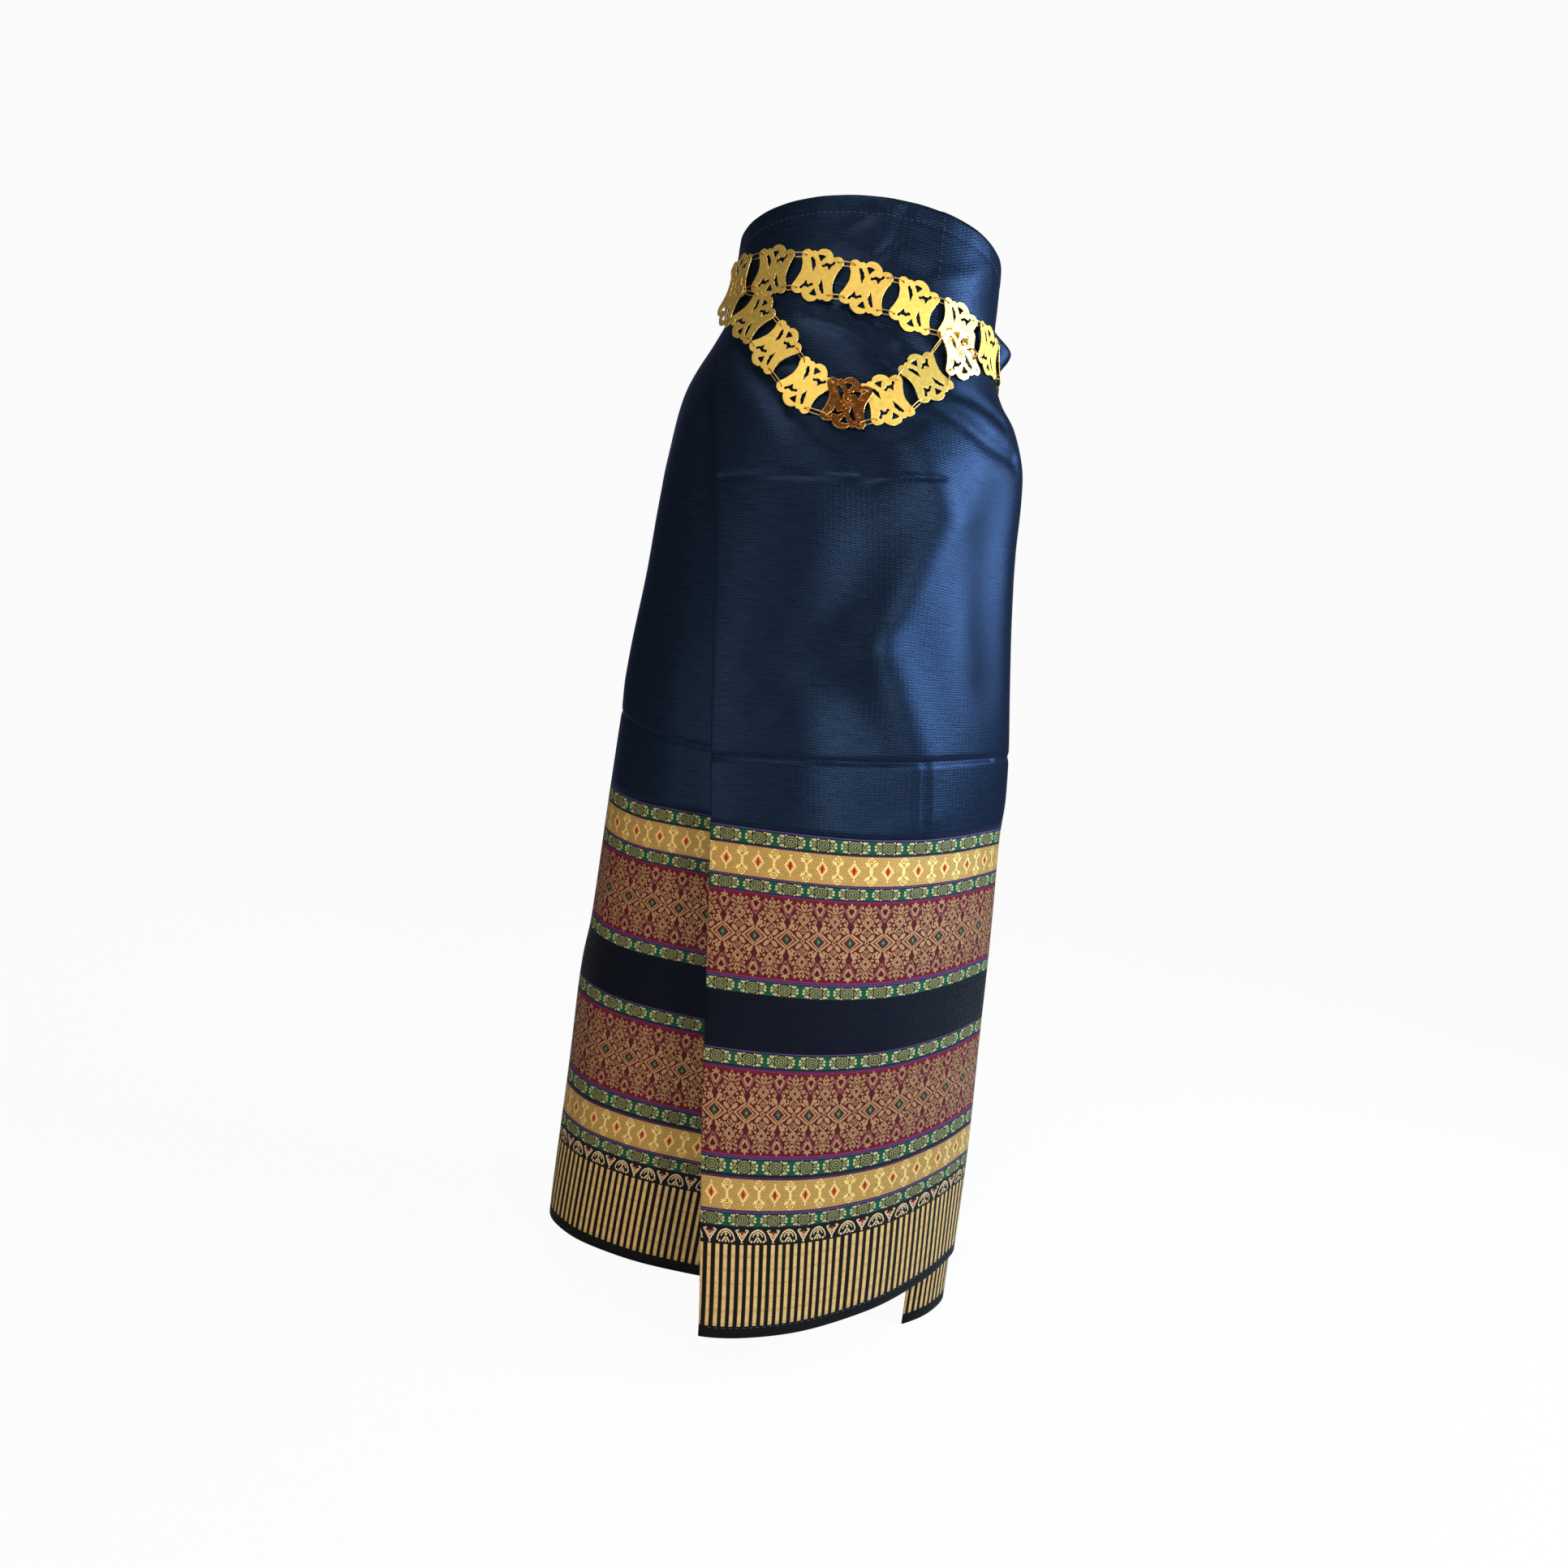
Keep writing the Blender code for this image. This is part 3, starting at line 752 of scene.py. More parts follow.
# %% The crimson band
def draw_crimson(across, down, x, h):
    """Gold leaves so close that the maroon is left as lines, mirrored about the middle."""
    y = abs(down - 36.75)
    weft = down.wave(0.9) > 0.2
    ground = tint(weft, colour(84, 16, 24), colour(64, 12, 18))
    ground = tint(y > 33.8, ground, colour(98, 14, 28))
    gold = either(
        # the heavy brackets round the green diamond
        abs(x * (1.0 / 10.0) + y * (1.0 / 8.6) - 1.0) < 0.125,
        diamond(x, y, 6.9, 7.0) * (diamond(x, y, 5.2, 5.6) < 0.5),
        # large leaves that hang beside the dark stem
        oval(x - 3.2, y - 11.6, 3.3, 1.5, 62.0),
        oval(x - 3.8, y - 17.0, 4.0, 1.5, 104.0),
        # the hanging triangle and its crown
        bar(x, y, (3.9, 28.8), (0.2, 22.4), 0.85),
        bar(x, y, (3.9, 28.8), (1.8, 30.2), 0.7),
        oval(x, y - 32.4, 1.0, 2.4),
        oval(x - 1.7, y - 31.6, 2.0, 0.8, 40.0),
        # petals of the cross between two diamonds
        oval(h - 3.5, y - 4.9, 3.3, 1.75, 48.0),
        diamond(h, y, 2.0, 3.4),
        # rosette with its collar, and the eye beside it
        ring(h, y - 8.5, 0.0, 2.3),
        ring(h, y - 8.6, 3.9, 0.7) * (y > 8.6),
        oval(h - 6.9, y - 11.6, 3.0, 2.0, 96.0),
        oval(h - 8.8, y - 8.6, 2.0, 0.9, 128.0),
        # nested diamond, and the scales round it
        diamond_ring(h, y - 18.4, 4.6, 5.5, 0.19),
        diamond_ring(h, y - 18.4, 2.4, 3.0, 0.30),
        oval(h - 5.6, y - 15.0, 2.4, 1.0, 128.0),
        oval(h - 5.2, y - 22.2, 2.6, 1.35, 58.0),
        oval(h - 7.5, y - 20.0, 2.2, 1.1, 60.0),
        oval(h - 3.4, y - 25.4, 2.6, 1.1, 58.0),
        oval(h - 5.7, y - 26.6, 2.6, 1.15, 62.0),
        # tulip at the band's edge
        bar(h, y, (0.1, 25.2), (2.7, 29.4), 0.8),
        bar(h, y, (2.7, 29.4), (1.2, 32.0), 0.7),
        bar(h, y, (0.0, 29.0), (1.4, 30.8), 0.5),
        diamond(h, y - 33.4, 1.1, 1.3),
        oval(h - 5.0, y - 31.2, 1.9, 0.9, 70.0),
    )
    threads = tint(gold, ground, tint(weft, colour(184, 142, 100), colour(136, 98, 68)))
    trellis = either(bar(x, y, (0.2, 16.0), (6.6, 31.6), 1.25), (x < 0.9) * (abs(y - 16.0) < 4.5))
    mauve = either(bar(x, y, (0.2, 18.4), (6.2, 30.6), 0.5), oval(x - 7.4, y - 31.2, 1.8, 0.7, 80.0))
    gaps = either(bar(h, y, (3.4, 21.2), (8.4, 23.6), 0.55), bar(h, y, (2.2, 24.2), (6.6, 26.8), 0.55),
                  bar(h, y, (2.4, 28.2), (6.0, 29.8), 0.60), bar(h, y, (4.6, 17.0), (10.4, 18.4), 0.55),
                  bar(h, y, (4.4, 13.6), (9.4, 14.6), 0.55), bar(x, y, (3.0, 8.2), (8.0, 4.2), 0.5),
                  diamond_ring(h, y - 18.4, 5.7, 6.9, 0.08))
    dark = either(diamond(x, y, 3.2, 4.7), (abs(y - 11.4) < 3.6) * (x < 0.5), diamond(h, y, 0.8, 1.5),
                  ring(h, y - 8.5, 1.35, 0.32), ring(h, y - 8.5, 0.0, 0.5),
                  diamond(h, y - 18.4, 0.9, 1.1), oval(h - 6.9, y - 11.6, 1.4, 0.8, 96.0),
                  diamond(x, y - 27.0, 1.3, 1.8), oval(x - 3.6, y - 17.6, 2.0, 0.3, 100.0))
    painted = coats(threads, (trellis, (76, 14, 22)), (mauve, (136, 78, 74)), (gaps, (70, 14, 20)),
                    (dark, (50, 12, 18)), (diamond(x, y, 2.4, 4.0), (36, 72, 50)),
                    (diamond(x, y, 0.7, 1.5), (120, 140, 104)),
                    (abs(y - 35.7) < 0.3, (116, 36, 84)), (y > 36.2, (56, 34, 76)))
    return painted, gold


print("the crimson band is", BAND_HEIGHT["crimson"], "millimetres high")

# %% The damask, lace and stripes
STRIPE_HALF, STRIPE_FOOT = 1.75, 69.0


def draw_damask(across, down, x, h):
    """Dark navy, with small eight-petalled flowers in rows, each shifted by half a step."""
    step, rise = REPEAT / 8, 3.5
    row = math_node("FLOOR", down * (1.0 / (2 * rise)))
    side = (across + row * step).wrapped(step)
    up = (down - rise).wrapped(rise)
    reach = math_node("SQRT", side * side + up * up)
    petals = math_node("COSINE", math_node("ARCTAN2", up, side) * 6.0)
    flower = either(abs(reach - (petals * 0.7 + 1.9)) < 0.5, reach < 0.6)
    sprig = either(flower, bar(abs(side), up, (1.9, -2.5), (3.3, -3.4), 0.4))
    ground = tint((across - down).wave(1.3) > 0.0, colour(1, 2, 5), colour(3, 5, 10))
    return tint(sprig, ground, colour(9, 17, 42)), sprig * 1.9


def draw_lace(across, down, x, h):
    """Black, with cups and arches like a lace edge."""
    red = diamond(x, down - 3.6, 1.6, 2.2)
    cup = either(bar(x, down, (0.0, 9.4), (5.4, 1.0), 0.62), bar(x, down, (2.8, 1.2), (4.6, 0.8), 0.5),
                 bar(x, down, (0.0, 6.4), (2.4, 3.0), 0.42), diamond(x, down - 10.6, 1.0, 1.2))
    arch = either(ring(h, (down - 9.2) * 0.85, 7.2, 0.52) * (down < 9.6),
                  ring(h, (down - 7.0) * 0.9, 4.1, 0.42) * (down < 6.4),
                  bar(h, down, (0.4, 6.6), (3.2, 10.4), 0.62), diamond(h, down - 4.6, 1.2, 1.5),
                  ring(h - 5.4, down - 10.0, 0.0, 0.9), diamond(h, down - 9.8, 0.9, 1.3))
    cream = either(cup, arch)
    painted = coats(colour(10, 9, 12), (cream, (208, 180, 134)), (red, (150, 30, 32)))
    return painted, cream * 0.5


def draw_stripe(across, down, x, h):
    """Gold stripes on near-black, and the plain black hem below them."""
    pitch = REPEAT / STRIPES
    side = abs(across.wrapped(pitch / 2))
    rib = down.wave(1.3) > 0.3
    core = tint(rib, colour(212, 178, 116), colour(178, 142, 84))
    stripe = (side < STRIPE_HALF) * (down < STRIPE_FOOT)
    edge = (abs(side - STRIPE_HALF) < 0.20) * (down < STRIPE_FOOT)
    painted = coats(tint(stripe, colour(4, 4, 6), core), (edge, (104, 70, 34)))
    return painted, stripe * 0.6


DRAWINGS = {"green": draw_green, "gold": draw_gold, "crimson": draw_crimson,
            "damask": draw_damask, "lace": draw_lace, "stripe": draw_stripe}
print("drawings", list(DRAWINGS))

# %% The bands' materials
def make_band(kind, draw):
    """The band's material: its colours, brighter and duller by the thread, gold partly metal."""
    material, tree, shader, across, down = new_material(
        "border_" + kind, "weave", Specular_IOR_Level=0.10)
    drawn = use_group(tree, band_group(kind, draw), Across=across, Down=down)
    thread = use_group(tree, THREAD, Across=across, Down=down)
    shade = tree.nodes.new("ShaderNodeMix")
    shade.data_type = "RGBA"
    shade.blend_type = "MULTIPLY"
    shade.inputs[0].default_value = 1.0
    tree.links.new(drawn["Color"], shade.inputs[6])
    grey = tree.nodes.new("ShaderNodeCombineColor")
    for slot in grey.inputs:
        join(tree, Term(thread["Shade"]) * 1.1 + 0.40, slot)
    tree.links.new(grey.outputs[0], shade.inputs[7])
    tree.links.new(shade.outputs[2], shader.inputs["Base Color"])
    gold = Term(drawn["Gold"])
    join(tree, gold * 0.45, shader.inputs["Metallic"])
    join(tree, gold * -0.12 + Term(thread["Shade"]) * 0.15 + 0.48, shader.inputs["Roughness"])
    rib = down.wave(1.15) * 0.3 + across.wave(1.0) * 0.2
    add_bump(tree, shader, rib + Term(thread["Height"]), 0.00025, 0.8)
    return material


band_materials = [make_band(kind, draw) for kind, draw in DRAWINGS.items()]
border_inside, tree, shader, across, down = new_material("border_inside", "weave", Roughness=0.7)
loose = use_group(tree, THREAD, Across=across, Down=down)
floats = Term(loose["Shade"]) * 0.8 + across.wave(REPEAT / STRIPES) * 0.12
join(tree, tint(floats, colour(30, 18, 26), colour(120, 84, 62)), shader.inputs["Base Color"])
add_bump(tree, shader, Term(loose["Height"]), 0.0003, 0.8)
print("nodes in the border's groups", {g.name: len(g.nodes) for g in bpy.data.node_groups})

# %% [markdown]
# ## The satin body
# The body is the middle part of the skirt, from the belt down to the border. Its rows lie closer
# together near the belt, where the folds are small. It stands for the CAD solid of that name.

# %% Body cloth
BODY_STEPS = 92
CREASE_ZONES = [(-0.151, -0.181), (-0.391, -0.419)]
CREASE_STEPS = 20


def body_rows():
    """Even rows that grow wider downward, and close ones where the sharp creases run."""
    share = np.linspace(0.0, 1.0, BODY_STEPS + 1) ** 1.25
    start = BELT_Z - HEAD_SEAM
    even = start + share * (BORDER_Z + SEAM / 2 - start)
    close = [np.linspace(top, low, CREASE_STEPS) for top, low in CREASE_ZONES]
    clear = [z for z in even if all(z > top or z < low for top, low in CREASE_ZONES)]
    return np.sort(np.concatenate([clear] + close))[::-1]


rows = body_rows()
body_spots, body_run = wrap_points(rows)
body_down = [(BELT_Z - top, BELT_Z - low) for top, low in zip(rows, rows[1:])]
shape = sheet_shape(body_spots, body_run, body_down, [0] * len(body_down))
body = finish_piece("satin_body", shape, [satin, satin_inside], "navy_satin")
thicken(body, WALL, 1)
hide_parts("body_cloth")
print("rows", len(rows), "columns", body_spots.shape[1])

# %% [markdown]
# ## The woven foot border
# The border's rows are laid on the edges of its bands, so that each band is whole faces of its own
# material. The pattern's place comes from the distance along the strip: the repeat starts a little
# inside the flap's edge, leans slightly, as the photo shows, and runs on round the whole strip.

# %% Foot border
ROW_STEP = 0.0046
START_IN = 0.0135      # the first motif's middle, inside the flap's edge, at the height below
START_Z = -0.500
LEAN = 0.021
STRETCH_FROM, STRETCH_TO, STRETCH = 0.118, 0.300, 0.87


def border_rows():
    """Heights of the rows, the band of each, and the pattern's height at each row's two ends."""
    heights, kinds, ends = [0.0], [], []
    names = list(DRAWINGS)
    for kind, top, first, last, bottom in BANDS:
        steps = max(1, math.ceil((bottom - top) / (ROW_STEP * MM)))
        scale = BAND_HEIGHT[kind] / (last - first)
        for n in range(steps):
            low = top + (bottom - top) * (n + 1) / steps
            ends.append([(v - first) * scale / MM for v in (heights[-1], low)])
            kinds.append(names.index(kind))
            heights.append(low)
    start = BORDER_Z - SEAM / 2
    return start - np.array(heights) / heights[-1] * (start - HEM_Z), kinds, ends


def on_thread(run, z):
    """The place in the repeat, from the distance to the flap's edge."""
    stretched = np.clip(run - STRETCH_FROM, 0.0, STRETCH_TO - STRETCH_FROM) * (1.0 - STRETCH)
    return run - stretched - START_IN + LEAN * (START_Z - z)


rows, kinds, ends = border_rows()
border_spots, border_run = wrap_points(rows)
shape = sheet_shape(border_spots, on_thread(border_run, rows[:, None]), ends, kinds)
border = finish_piece("woven_foot_border", shape, band_materials + [border_inside],
                      "woven_brocade")
thicken(border, WALL, len(band_materials))
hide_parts("foot_border")
print("rows", len(rows), "repeats round the strip", round(np.ptp(border_run[0]) * MM / REPEAT, 1))

# %% [markdown]
# ## The head band
# The plain band above the belt is turned over at the top, so it is two layers thick. Where it
# laps over itself in front, its edge makes a low step with a row of stitches. The band is a closed
# ring, so the grid's last column is merged onto its first.

# %% Head band
HEAD_STEPS, AROUND_STEPS = 34, 240
HEAD_RADIUS = 0.108    # turns angles into a length round the band
HEAD_LAP = 0.004       # how far the band hangs over the body's top edge, so that no light gets in
LAP_ANGLE, LAP_HEIGHT, LAP_FADE = 26.5, 0.0009, 16.0
STITCH_DOWN = 0.014    # the row of stitches, below the rim


def rim_height(angle):
    """The height of the rim at that angle."""
    return RIM_Z + RIM_RISE * np.cos(np.radians(angle))


def head_relief(angle, z):
    """Folds of the head band: the lap's step, the stitched row and the pull of the belt."""
    turn = (angle + 180.0) % 360.0 - 180.0
    clear = smooth_step((z - BELT_Z - belt_rise(angle) - 0.022) / 0.010)
    step = smooth_step((turn - LAP_ANGLE) / 0.9 + 0.5) * smooth_step((62.0 - turn) / LAP_FADE)
    row = np.exp(-((rim_height(angle) - STITCH_DOWN - z) / 0.0022) ** 2)
    pucker = np.sin(np.radians(turn * 26.0)) * np.exp(-((rim_height(angle) - 0.010 - z) / 0.010) ** 2)
    return relief(angle, z) + clear * (LAP_HEIGHT * step - 0.0004 * row + 0.0002 * pucker)


angles = np.linspace(0.0, 360.0, AROUND_STEPS + 1)[None, :]
share = np.linspace(1.0, 0.0, HEAD_STEPS + 1)[:, None]
low = BELT_Z + belt_rise(angles) - HEAD_LAP
heights = low + (rim_height(angles) - low) * share
head_spots = cloth_point(angles, heights, HEAD_SHIFT + head_relief(angles, heights))
head_run = np.radians(angles) * HEAD_RADIUS + 0.0 * heights
head_down = [tuple(RIM_Z - heights[r:r + 2, 0]) for r in range(HEAD_STEPS)]
shape = sheet_shape(head_spots, head_run, head_down, [0] * HEAD_STEPS)
bmesh.ops.remove_doubles(shape, verts=shape.verts, dist=0.00001)
head = finish_piece("head_band_cloth", shape, [satin, satin_inside], "navy_satin")
thicken(head, HEAD_WALL, 1)
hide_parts("head_band")
print("height of the band in front", round(heights[0, 0] - heights[-1, 0], 3))

# %% [markdown]
# ## The tucked corner
# At the right hip the wrap's free corner is tucked in over the belt and puffs out. It is a small
# sheet of its own, lifted from the hip by a swell that is full near its front and runs out behind.

# %% Side tuck
TUCK_START, TUCK_END = 98.2, 119.0         # degrees
TUCK_TOP, TUCK_FOOT = 0.022, -0.034        # heights
TUCK_OUT, TUCK_FOOT_OUT = 0.0290, 0.0080   # how far it swells, at its fullest and at its foot
TUCK_ROWS, TUCK_COLUMNS = 40, 56
TUCK_WIDE, TUCK_ROW = 0.052, 0.0016        # the cloth in it, across and in each row


def tuck_spots():
    """The corner's points, row by row."""
    down = np.linspace(0.0, 1.0, TUCK_ROWS + 1)[:, None]
    along = np.linspace(0.0, 1.0, TUCK_COLUMNS + 1)[None, :]
    z = TUCK_TOP + (TUCK_FOOT - TUCK_TOP) * down
    fall = 1.0 - (1.0 - TUCK_FOOT_OUT / TUCK_OUT) * smooth_step((down - 0.4) / 0.6)
    puff = TUCK_OUT * smooth_step(down / 0.4) * fall
    rest = HEAD_SHIFT + HEAD_WALL / 2 + 0.0010 + 0.0013 * smooth_step((-0.012 - z) / 0.010)
    rise = np.sin(math.pi / 2 * np.minimum(along / 0.35, 1.0)) ** 0.5
    swell = (1.0 - 0.45 * along ** 3) * rise
    pleat = 0.0011 * np.sin(9.0 * along + 3.0 * down) * smooth_step(down / 0.5) * rise
    angle = TUCK_START + (TUCK_END - TUCK_START) * along
    return cloth_point(angle, z + 0.0 * along, rest + puff * swell + pleat)


spots = tuck_spots()
across = np.linspace(0.0, TUCK_WIDE, TUCK_COLUMNS + 1)[None, :] + np.zeros((TUCK_ROWS + 1, 1))
down = [(TUCK_ROW * r, TUCK_ROW * (r + 1)) for r in range(TUCK_ROWS)]
shape = sheet_shape(spots, across, down, [0] * TUCK_ROWS)
tuck = finish_piece("tucked_corner", shape, [satin, satin_inside], "navy_satin")
thicken(tuck, WALL, 1)
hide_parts("side_tuck")
print("degrees round the hip", round(TUCK_END - TUCK_START, 1))

# %% [markdown]
# ## Gilt metal
# The plates are thin stamped brass with a gold finish. Their backs, which mostly face outwards
# here, are matt and finely grained, and the edges are rubbed bright. The grain and the rubbed
# edges are a group that both finishes use. Each plate's mesh carries its own flat place as a UV
# map in real lengths, and an attribute that is 1 on the rounded rim.

# %% Gilt finishes
def make_grain_group():
    """Clouds of wear, a fine grain, and a faint stamped flower with scrolls."""
    group, (across, down), put = new_group(
        "stamped_grain", ["Across", "Down"], [("Mark", "Float"), ("Height", "Float")])
    cloud = noise(group, across, down, 0.22, 3.0)
    grain = noise(group, across, down, 1.0, 3.0)
    beside = math_node("SQRT", across * across + down * down)
    turn = math_node("ARCTAN2", down, across)
    petals = math_node("COSINE", turn * 8.0)
    flower = (abs(beside - (petals * 0.9 + 4.6)) < 0.35) * 0.5
    scroll = (abs((beside + turn * 0.9).wrapped(1.7)) < 0.28) * (beside > 6.4) * 0.35
    put("Mark", cloud)
    put("Height", grain * 1.2 + flower + scroll)
    return group


GRAIN = make_grain_group()


def make_gilt(name, dull, bright, roughness, relief_height):
    """Metal between two shades, rubbed bright and smooth on the rim."""
    material, tree, shader, across, down = new_material(name, "plate", Metallic=1.0)
    rim = tree.nodes.new("ShaderNodeAttribute")
    rim.attribute_name = "rim"
    grain = use_group(tree, GRAIN, Across=across, Down=down)
    worn = Term(rim.outputs["Fac"])
    base = tint(Term(grain["Mark"]), dull, bright)
    join(tree, tint(worn * 0.6, base, colour(255, 226, 150)), shader.inputs["Base Color"])
    rough = Term(grain["Mark"]) * 0.20 + worn * -0.16 + (roughness - 0.10)
    join(tree, rough, shader.inputs["Roughness"])
    add_bump(tree, shader, Term(grain["Height"]), relief_height, 0.8)
    return material


gilt_back = make_gilt("gilt_back", colour(240, 190, 78), colour(255, 224, 124), 0.44, 0.00022)
gilt_front = make_gilt("gilt_front", colour(190, 148, 74), colour(236, 204, 132), 0.30, 0.00006)
bronze_front = make_gilt("bronze_front", colour(122, 68, 28), colour(182, 116, 54), 0.26, 0.00002)
wire_gold, tree, shader, across, up = new_material("gold_wire", Metallic=1.0)
rubbed = noise(tree, across, up, 0.6)
join(tree, tint(rubbed, colour(190, 140, 66), colour(240, 204, 130)), shader.inputs["Base Color"])
join(tree, rubbed * 0.25 + 0.18, shader.inputs["Roughness"])
print("metals", [made.name for made in (gilt_back, gilt_front, bronze_front, wire_gold)])

# %% [markdown]
# ## Where a plate lies
# A plate rests flat against the cloth, and a plate of the swag lies over the full turn. Its frame
# has X along the chain and Z outwards. The cloth under it is bowed, so the plate touches where the
# cloth reaches farthest. This is worked out as for the solids, so each plate stays in its place.

# %% The surfaces under the chain
PLATE_THICK = 0.0010
PLATE_CLEAR = 0.0005           # between a plate and the cloth
OVER_PLATE = 0.0032            # how much farther out the swag lies where it crosses the full turn
PLATE_REACH = (0.0203, 0.0240)     # a plate's half sizes, with a little room
BELT_HALF = 0.023              # half the height of the full turn


def belt_height(angle):
    """The height of the belt's middle at that angle."""
    return BELT_Z + belt_rise(angle)


def skin(angle, z, extra=0.0):
    """The even surface that sets how the plates lean."""
    share = smooth_step((angle + 78.0) / 12.0) * smooth_step((FLAP_END - 350.0 - angle) / 12.0)
    shift = HEAD_SHIFT + HEAD_WALL / 2
    shift = shift + share * (2 * LAYER + WALL / 2 - shift)
    return cloth_point(angle, z, shift + extra, share * flap_lift(angle + 360.0, z))


def surface(angle, z, extra=0.0):
    """The cloth's real outer surface, with its step at the seam under the belt."""
    in_flap = (-at_height(z, EDGE) - 1.0 < angle) & (angle < FLAP_END - 360.0 + 1.0)
    above = z > belt_height(angle)
    shift = np.where(above, HEAD_SHIFT + HEAD_WALL / 2, WALL / 2 + np.where(in_flap, 2 * LAYER, 0.0))
    lift = np.where(above | ~in_flap, 0.0, flap_lift(angle + 360.0, z))
    return cloth_point(angle, z, shift + extra, lift)


def raised(angle, z, over):
    """The extra that a plate of the swag needs where it lies on the full turn."""
    return np.where(z > belt_height(angle) - BELT_HALF, over, 0.0)


print("the surface at the front, on the belt's line", surface(0.0, BELT_Z).round(4))

# %% A plate's frame
def plate_frame(angle, z, along, over, lift=0.0, turn=0.0):
    """The matrix that carries a flat plate to its place."""
    def lean(spot_angle, spot_z):
        return Vector(skin(spot_angle, spot_z, raised(spot_angle, spot_z, over)))

    across = lean(angle + 1.5, z) - lean(angle - 1.5, z)
    down = lean(angle, z - 0.014) - lean(angle, z + 0.014)
    outward = down.cross(across).normalized()
    along = (along - outward * along.dot(outward)).normalized()
    along = Matrix.Rotation(math.radians(turn), 3, outward) @ along
    up = outward.cross(along)
    centre = lean(angle, z)
    spot_angles = angle + np.arange(-12, 13)[:, None]
    spot_heights = z + 0.0023 * np.arange(-11, 12)[None, :]
    spots = surface(spot_angles, spot_heights, raised(spot_angles, spot_heights, over))
    spots = spots - np.array(centre)
    near = (np.abs(spots @ np.array(along)) < PLATE_REACH[0]) & (
        np.abs(spots @ np.array(up)) < PLATE_REACH[1])
    reach = (spots @ np.array(outward))[near].max()
    origin = centre + outward * (reach + PLATE_CLEAR + PLATE_THICK / 2 + lift)
    axes = Matrix((along, up, outward)).transposed().to_4x4()
    return Matrix.Translation(origin) @ axes


print("a plate's place at the front", plate_frame(0.0, BELT_Z, Vector((1, 0, 0)), 0.0).translation)

# %% The chain's places
PLATE_COUNT = 16
PLATE_START = -1.8     # degrees from the front to the first plate's middle


def belt_line(count):
    """Evenly spaced places on the full turn, as angles from the front."""
    angles = PLATE_START + 0.5 * np.arange(721)
    turned = np.where(angles <= 180.0, angles, angles - 360.0)
    spots = skin(turned, belt_height(turned))
    run = np.concatenate([[0.0], np.cumsum(np.linalg.norm(np.diff(spots, axis=0), axis=1))])
    placed = np.interp(run[-1] * np.arange(count) / count, run, angles)
    return np.where(placed <= 180.0, placed, placed - 360.0)


def turn_frames():
    """The frames of the plates in the full turn."""
    frames = []
    for angle in belt_line(PLATE_COUNT):
        along = Vector(skin(angle + 2, belt_height(angle + 2)) - skin(angle - 2, belt_height(angle - 2)))
        frames.append(plate_frame(angle, belt_height(angle), along, 0.0))
    return frames


def swag_frames():
    """The frames of the plates in the swag, each along the line between its neighbours."""
    frames = []
    for n, (angle, z, lift, turn) in enumerate(SWAG):
        before, after = SWAG[max(n - 1, 0)], SWAG[min(n + 1, len(SWAG) - 1)]
        along = Vector(skin(after[0], after[1]) - skin(before[0], before[1]))
        frames.append(plate_frame(angle, z, along, OVER_PLATE, lift, turn))
    return frames


TURN, SWAG_PLACES = turn_frames(), swag_frames()
print("plates in the full turn", len(TURN), "and in the swag", len(SWAG_PLACES))

# %% [markdown]
# ## Stamped plates
# The plate's outline is the same after half a turn: two rounded loops above and below, an ear at
# each corner, and hollow sides with a scalloped edge. It could be cut from a sheet with Booleans,
# but a filled flat curve with a bevel makes the outline, its pierced holes and the rounded rim at
# once. Half the outline is given as points and drawn smooth through them.

# %% A plate's outline
PLATE_HALF = [
    (0.0160, 0.0000), (0.0170, 0.0040), (0.0181, 0.0074), (0.0197, 0.0111), (0.0199, 0.0144),
    (0.0181, 0.0169), (0.0151, 0.0182), (0.0118, 0.0179), (0.0097, 0.0171), (0.0085, 0.0190),
    (0.0060, 0.0213), (0.0022, 0.0230), (-0.0015, 0.0229), (-0.0045, 0.0216), (-0.0063, 0.0196),
    (-0.0086, 0.0202), (-0.0113, 0.0193), (-0.0145, 0.0204), (-0.0178, 0.0194), (-0.0195, 0.0165),
    (-0.0184, 0.0123), (-0.0170, 0.0094), (-0.0159, 0.0045),
]
HOLES = [
    [(-0.0100, 0.0134), (-0.0086, 0.0141), (-0.0072, 0.0125), (-0.0060, 0.0119), (-0.0054, 0.0100),
     (-0.0044, 0.0086), (-0.0047, 0.0058), (-0.0049, 0.0028), (-0.0061, 0.0052), (-0.0073, 0.0072),
     (-0.0080, 0.0092), (-0.0092, 0.0112)],
    [(-0.0041, 0.0168), (-0.0012, 0.0174), (0.0020, 0.0167), (0.0008, 0.0146), (-0.0007, 0.0121),
     (-0.0024, 0.0142)],
    [(0.0018, 0.0092), (0.0038, 0.0101), (0.0052, 0.0115), (0.0073, 0.0112), (0.0092, 0.0114),
     (0.0098, 0.0130), (0.0114, 0.0134), (0.0119, 0.0117), (0.0099, 0.0094), (0.0086, 0.0062),
     (0.0070, 0.0084), (0.0054, 0.0089), (0.0032, 0.0075)],
]
HOLES_GROWN = 1.12     # the smoothed holes are drawn this much wider
EARS = [(0.0151, 0.0135), (0.0151, -0.0155)]   # ring holes at the right: half a turn gives the left
EAR_HOLE = 0.0009
SCALLOP, SCALLOP_STEP, SCALLOP_END = 0.00035, 0.0026, 0.0125


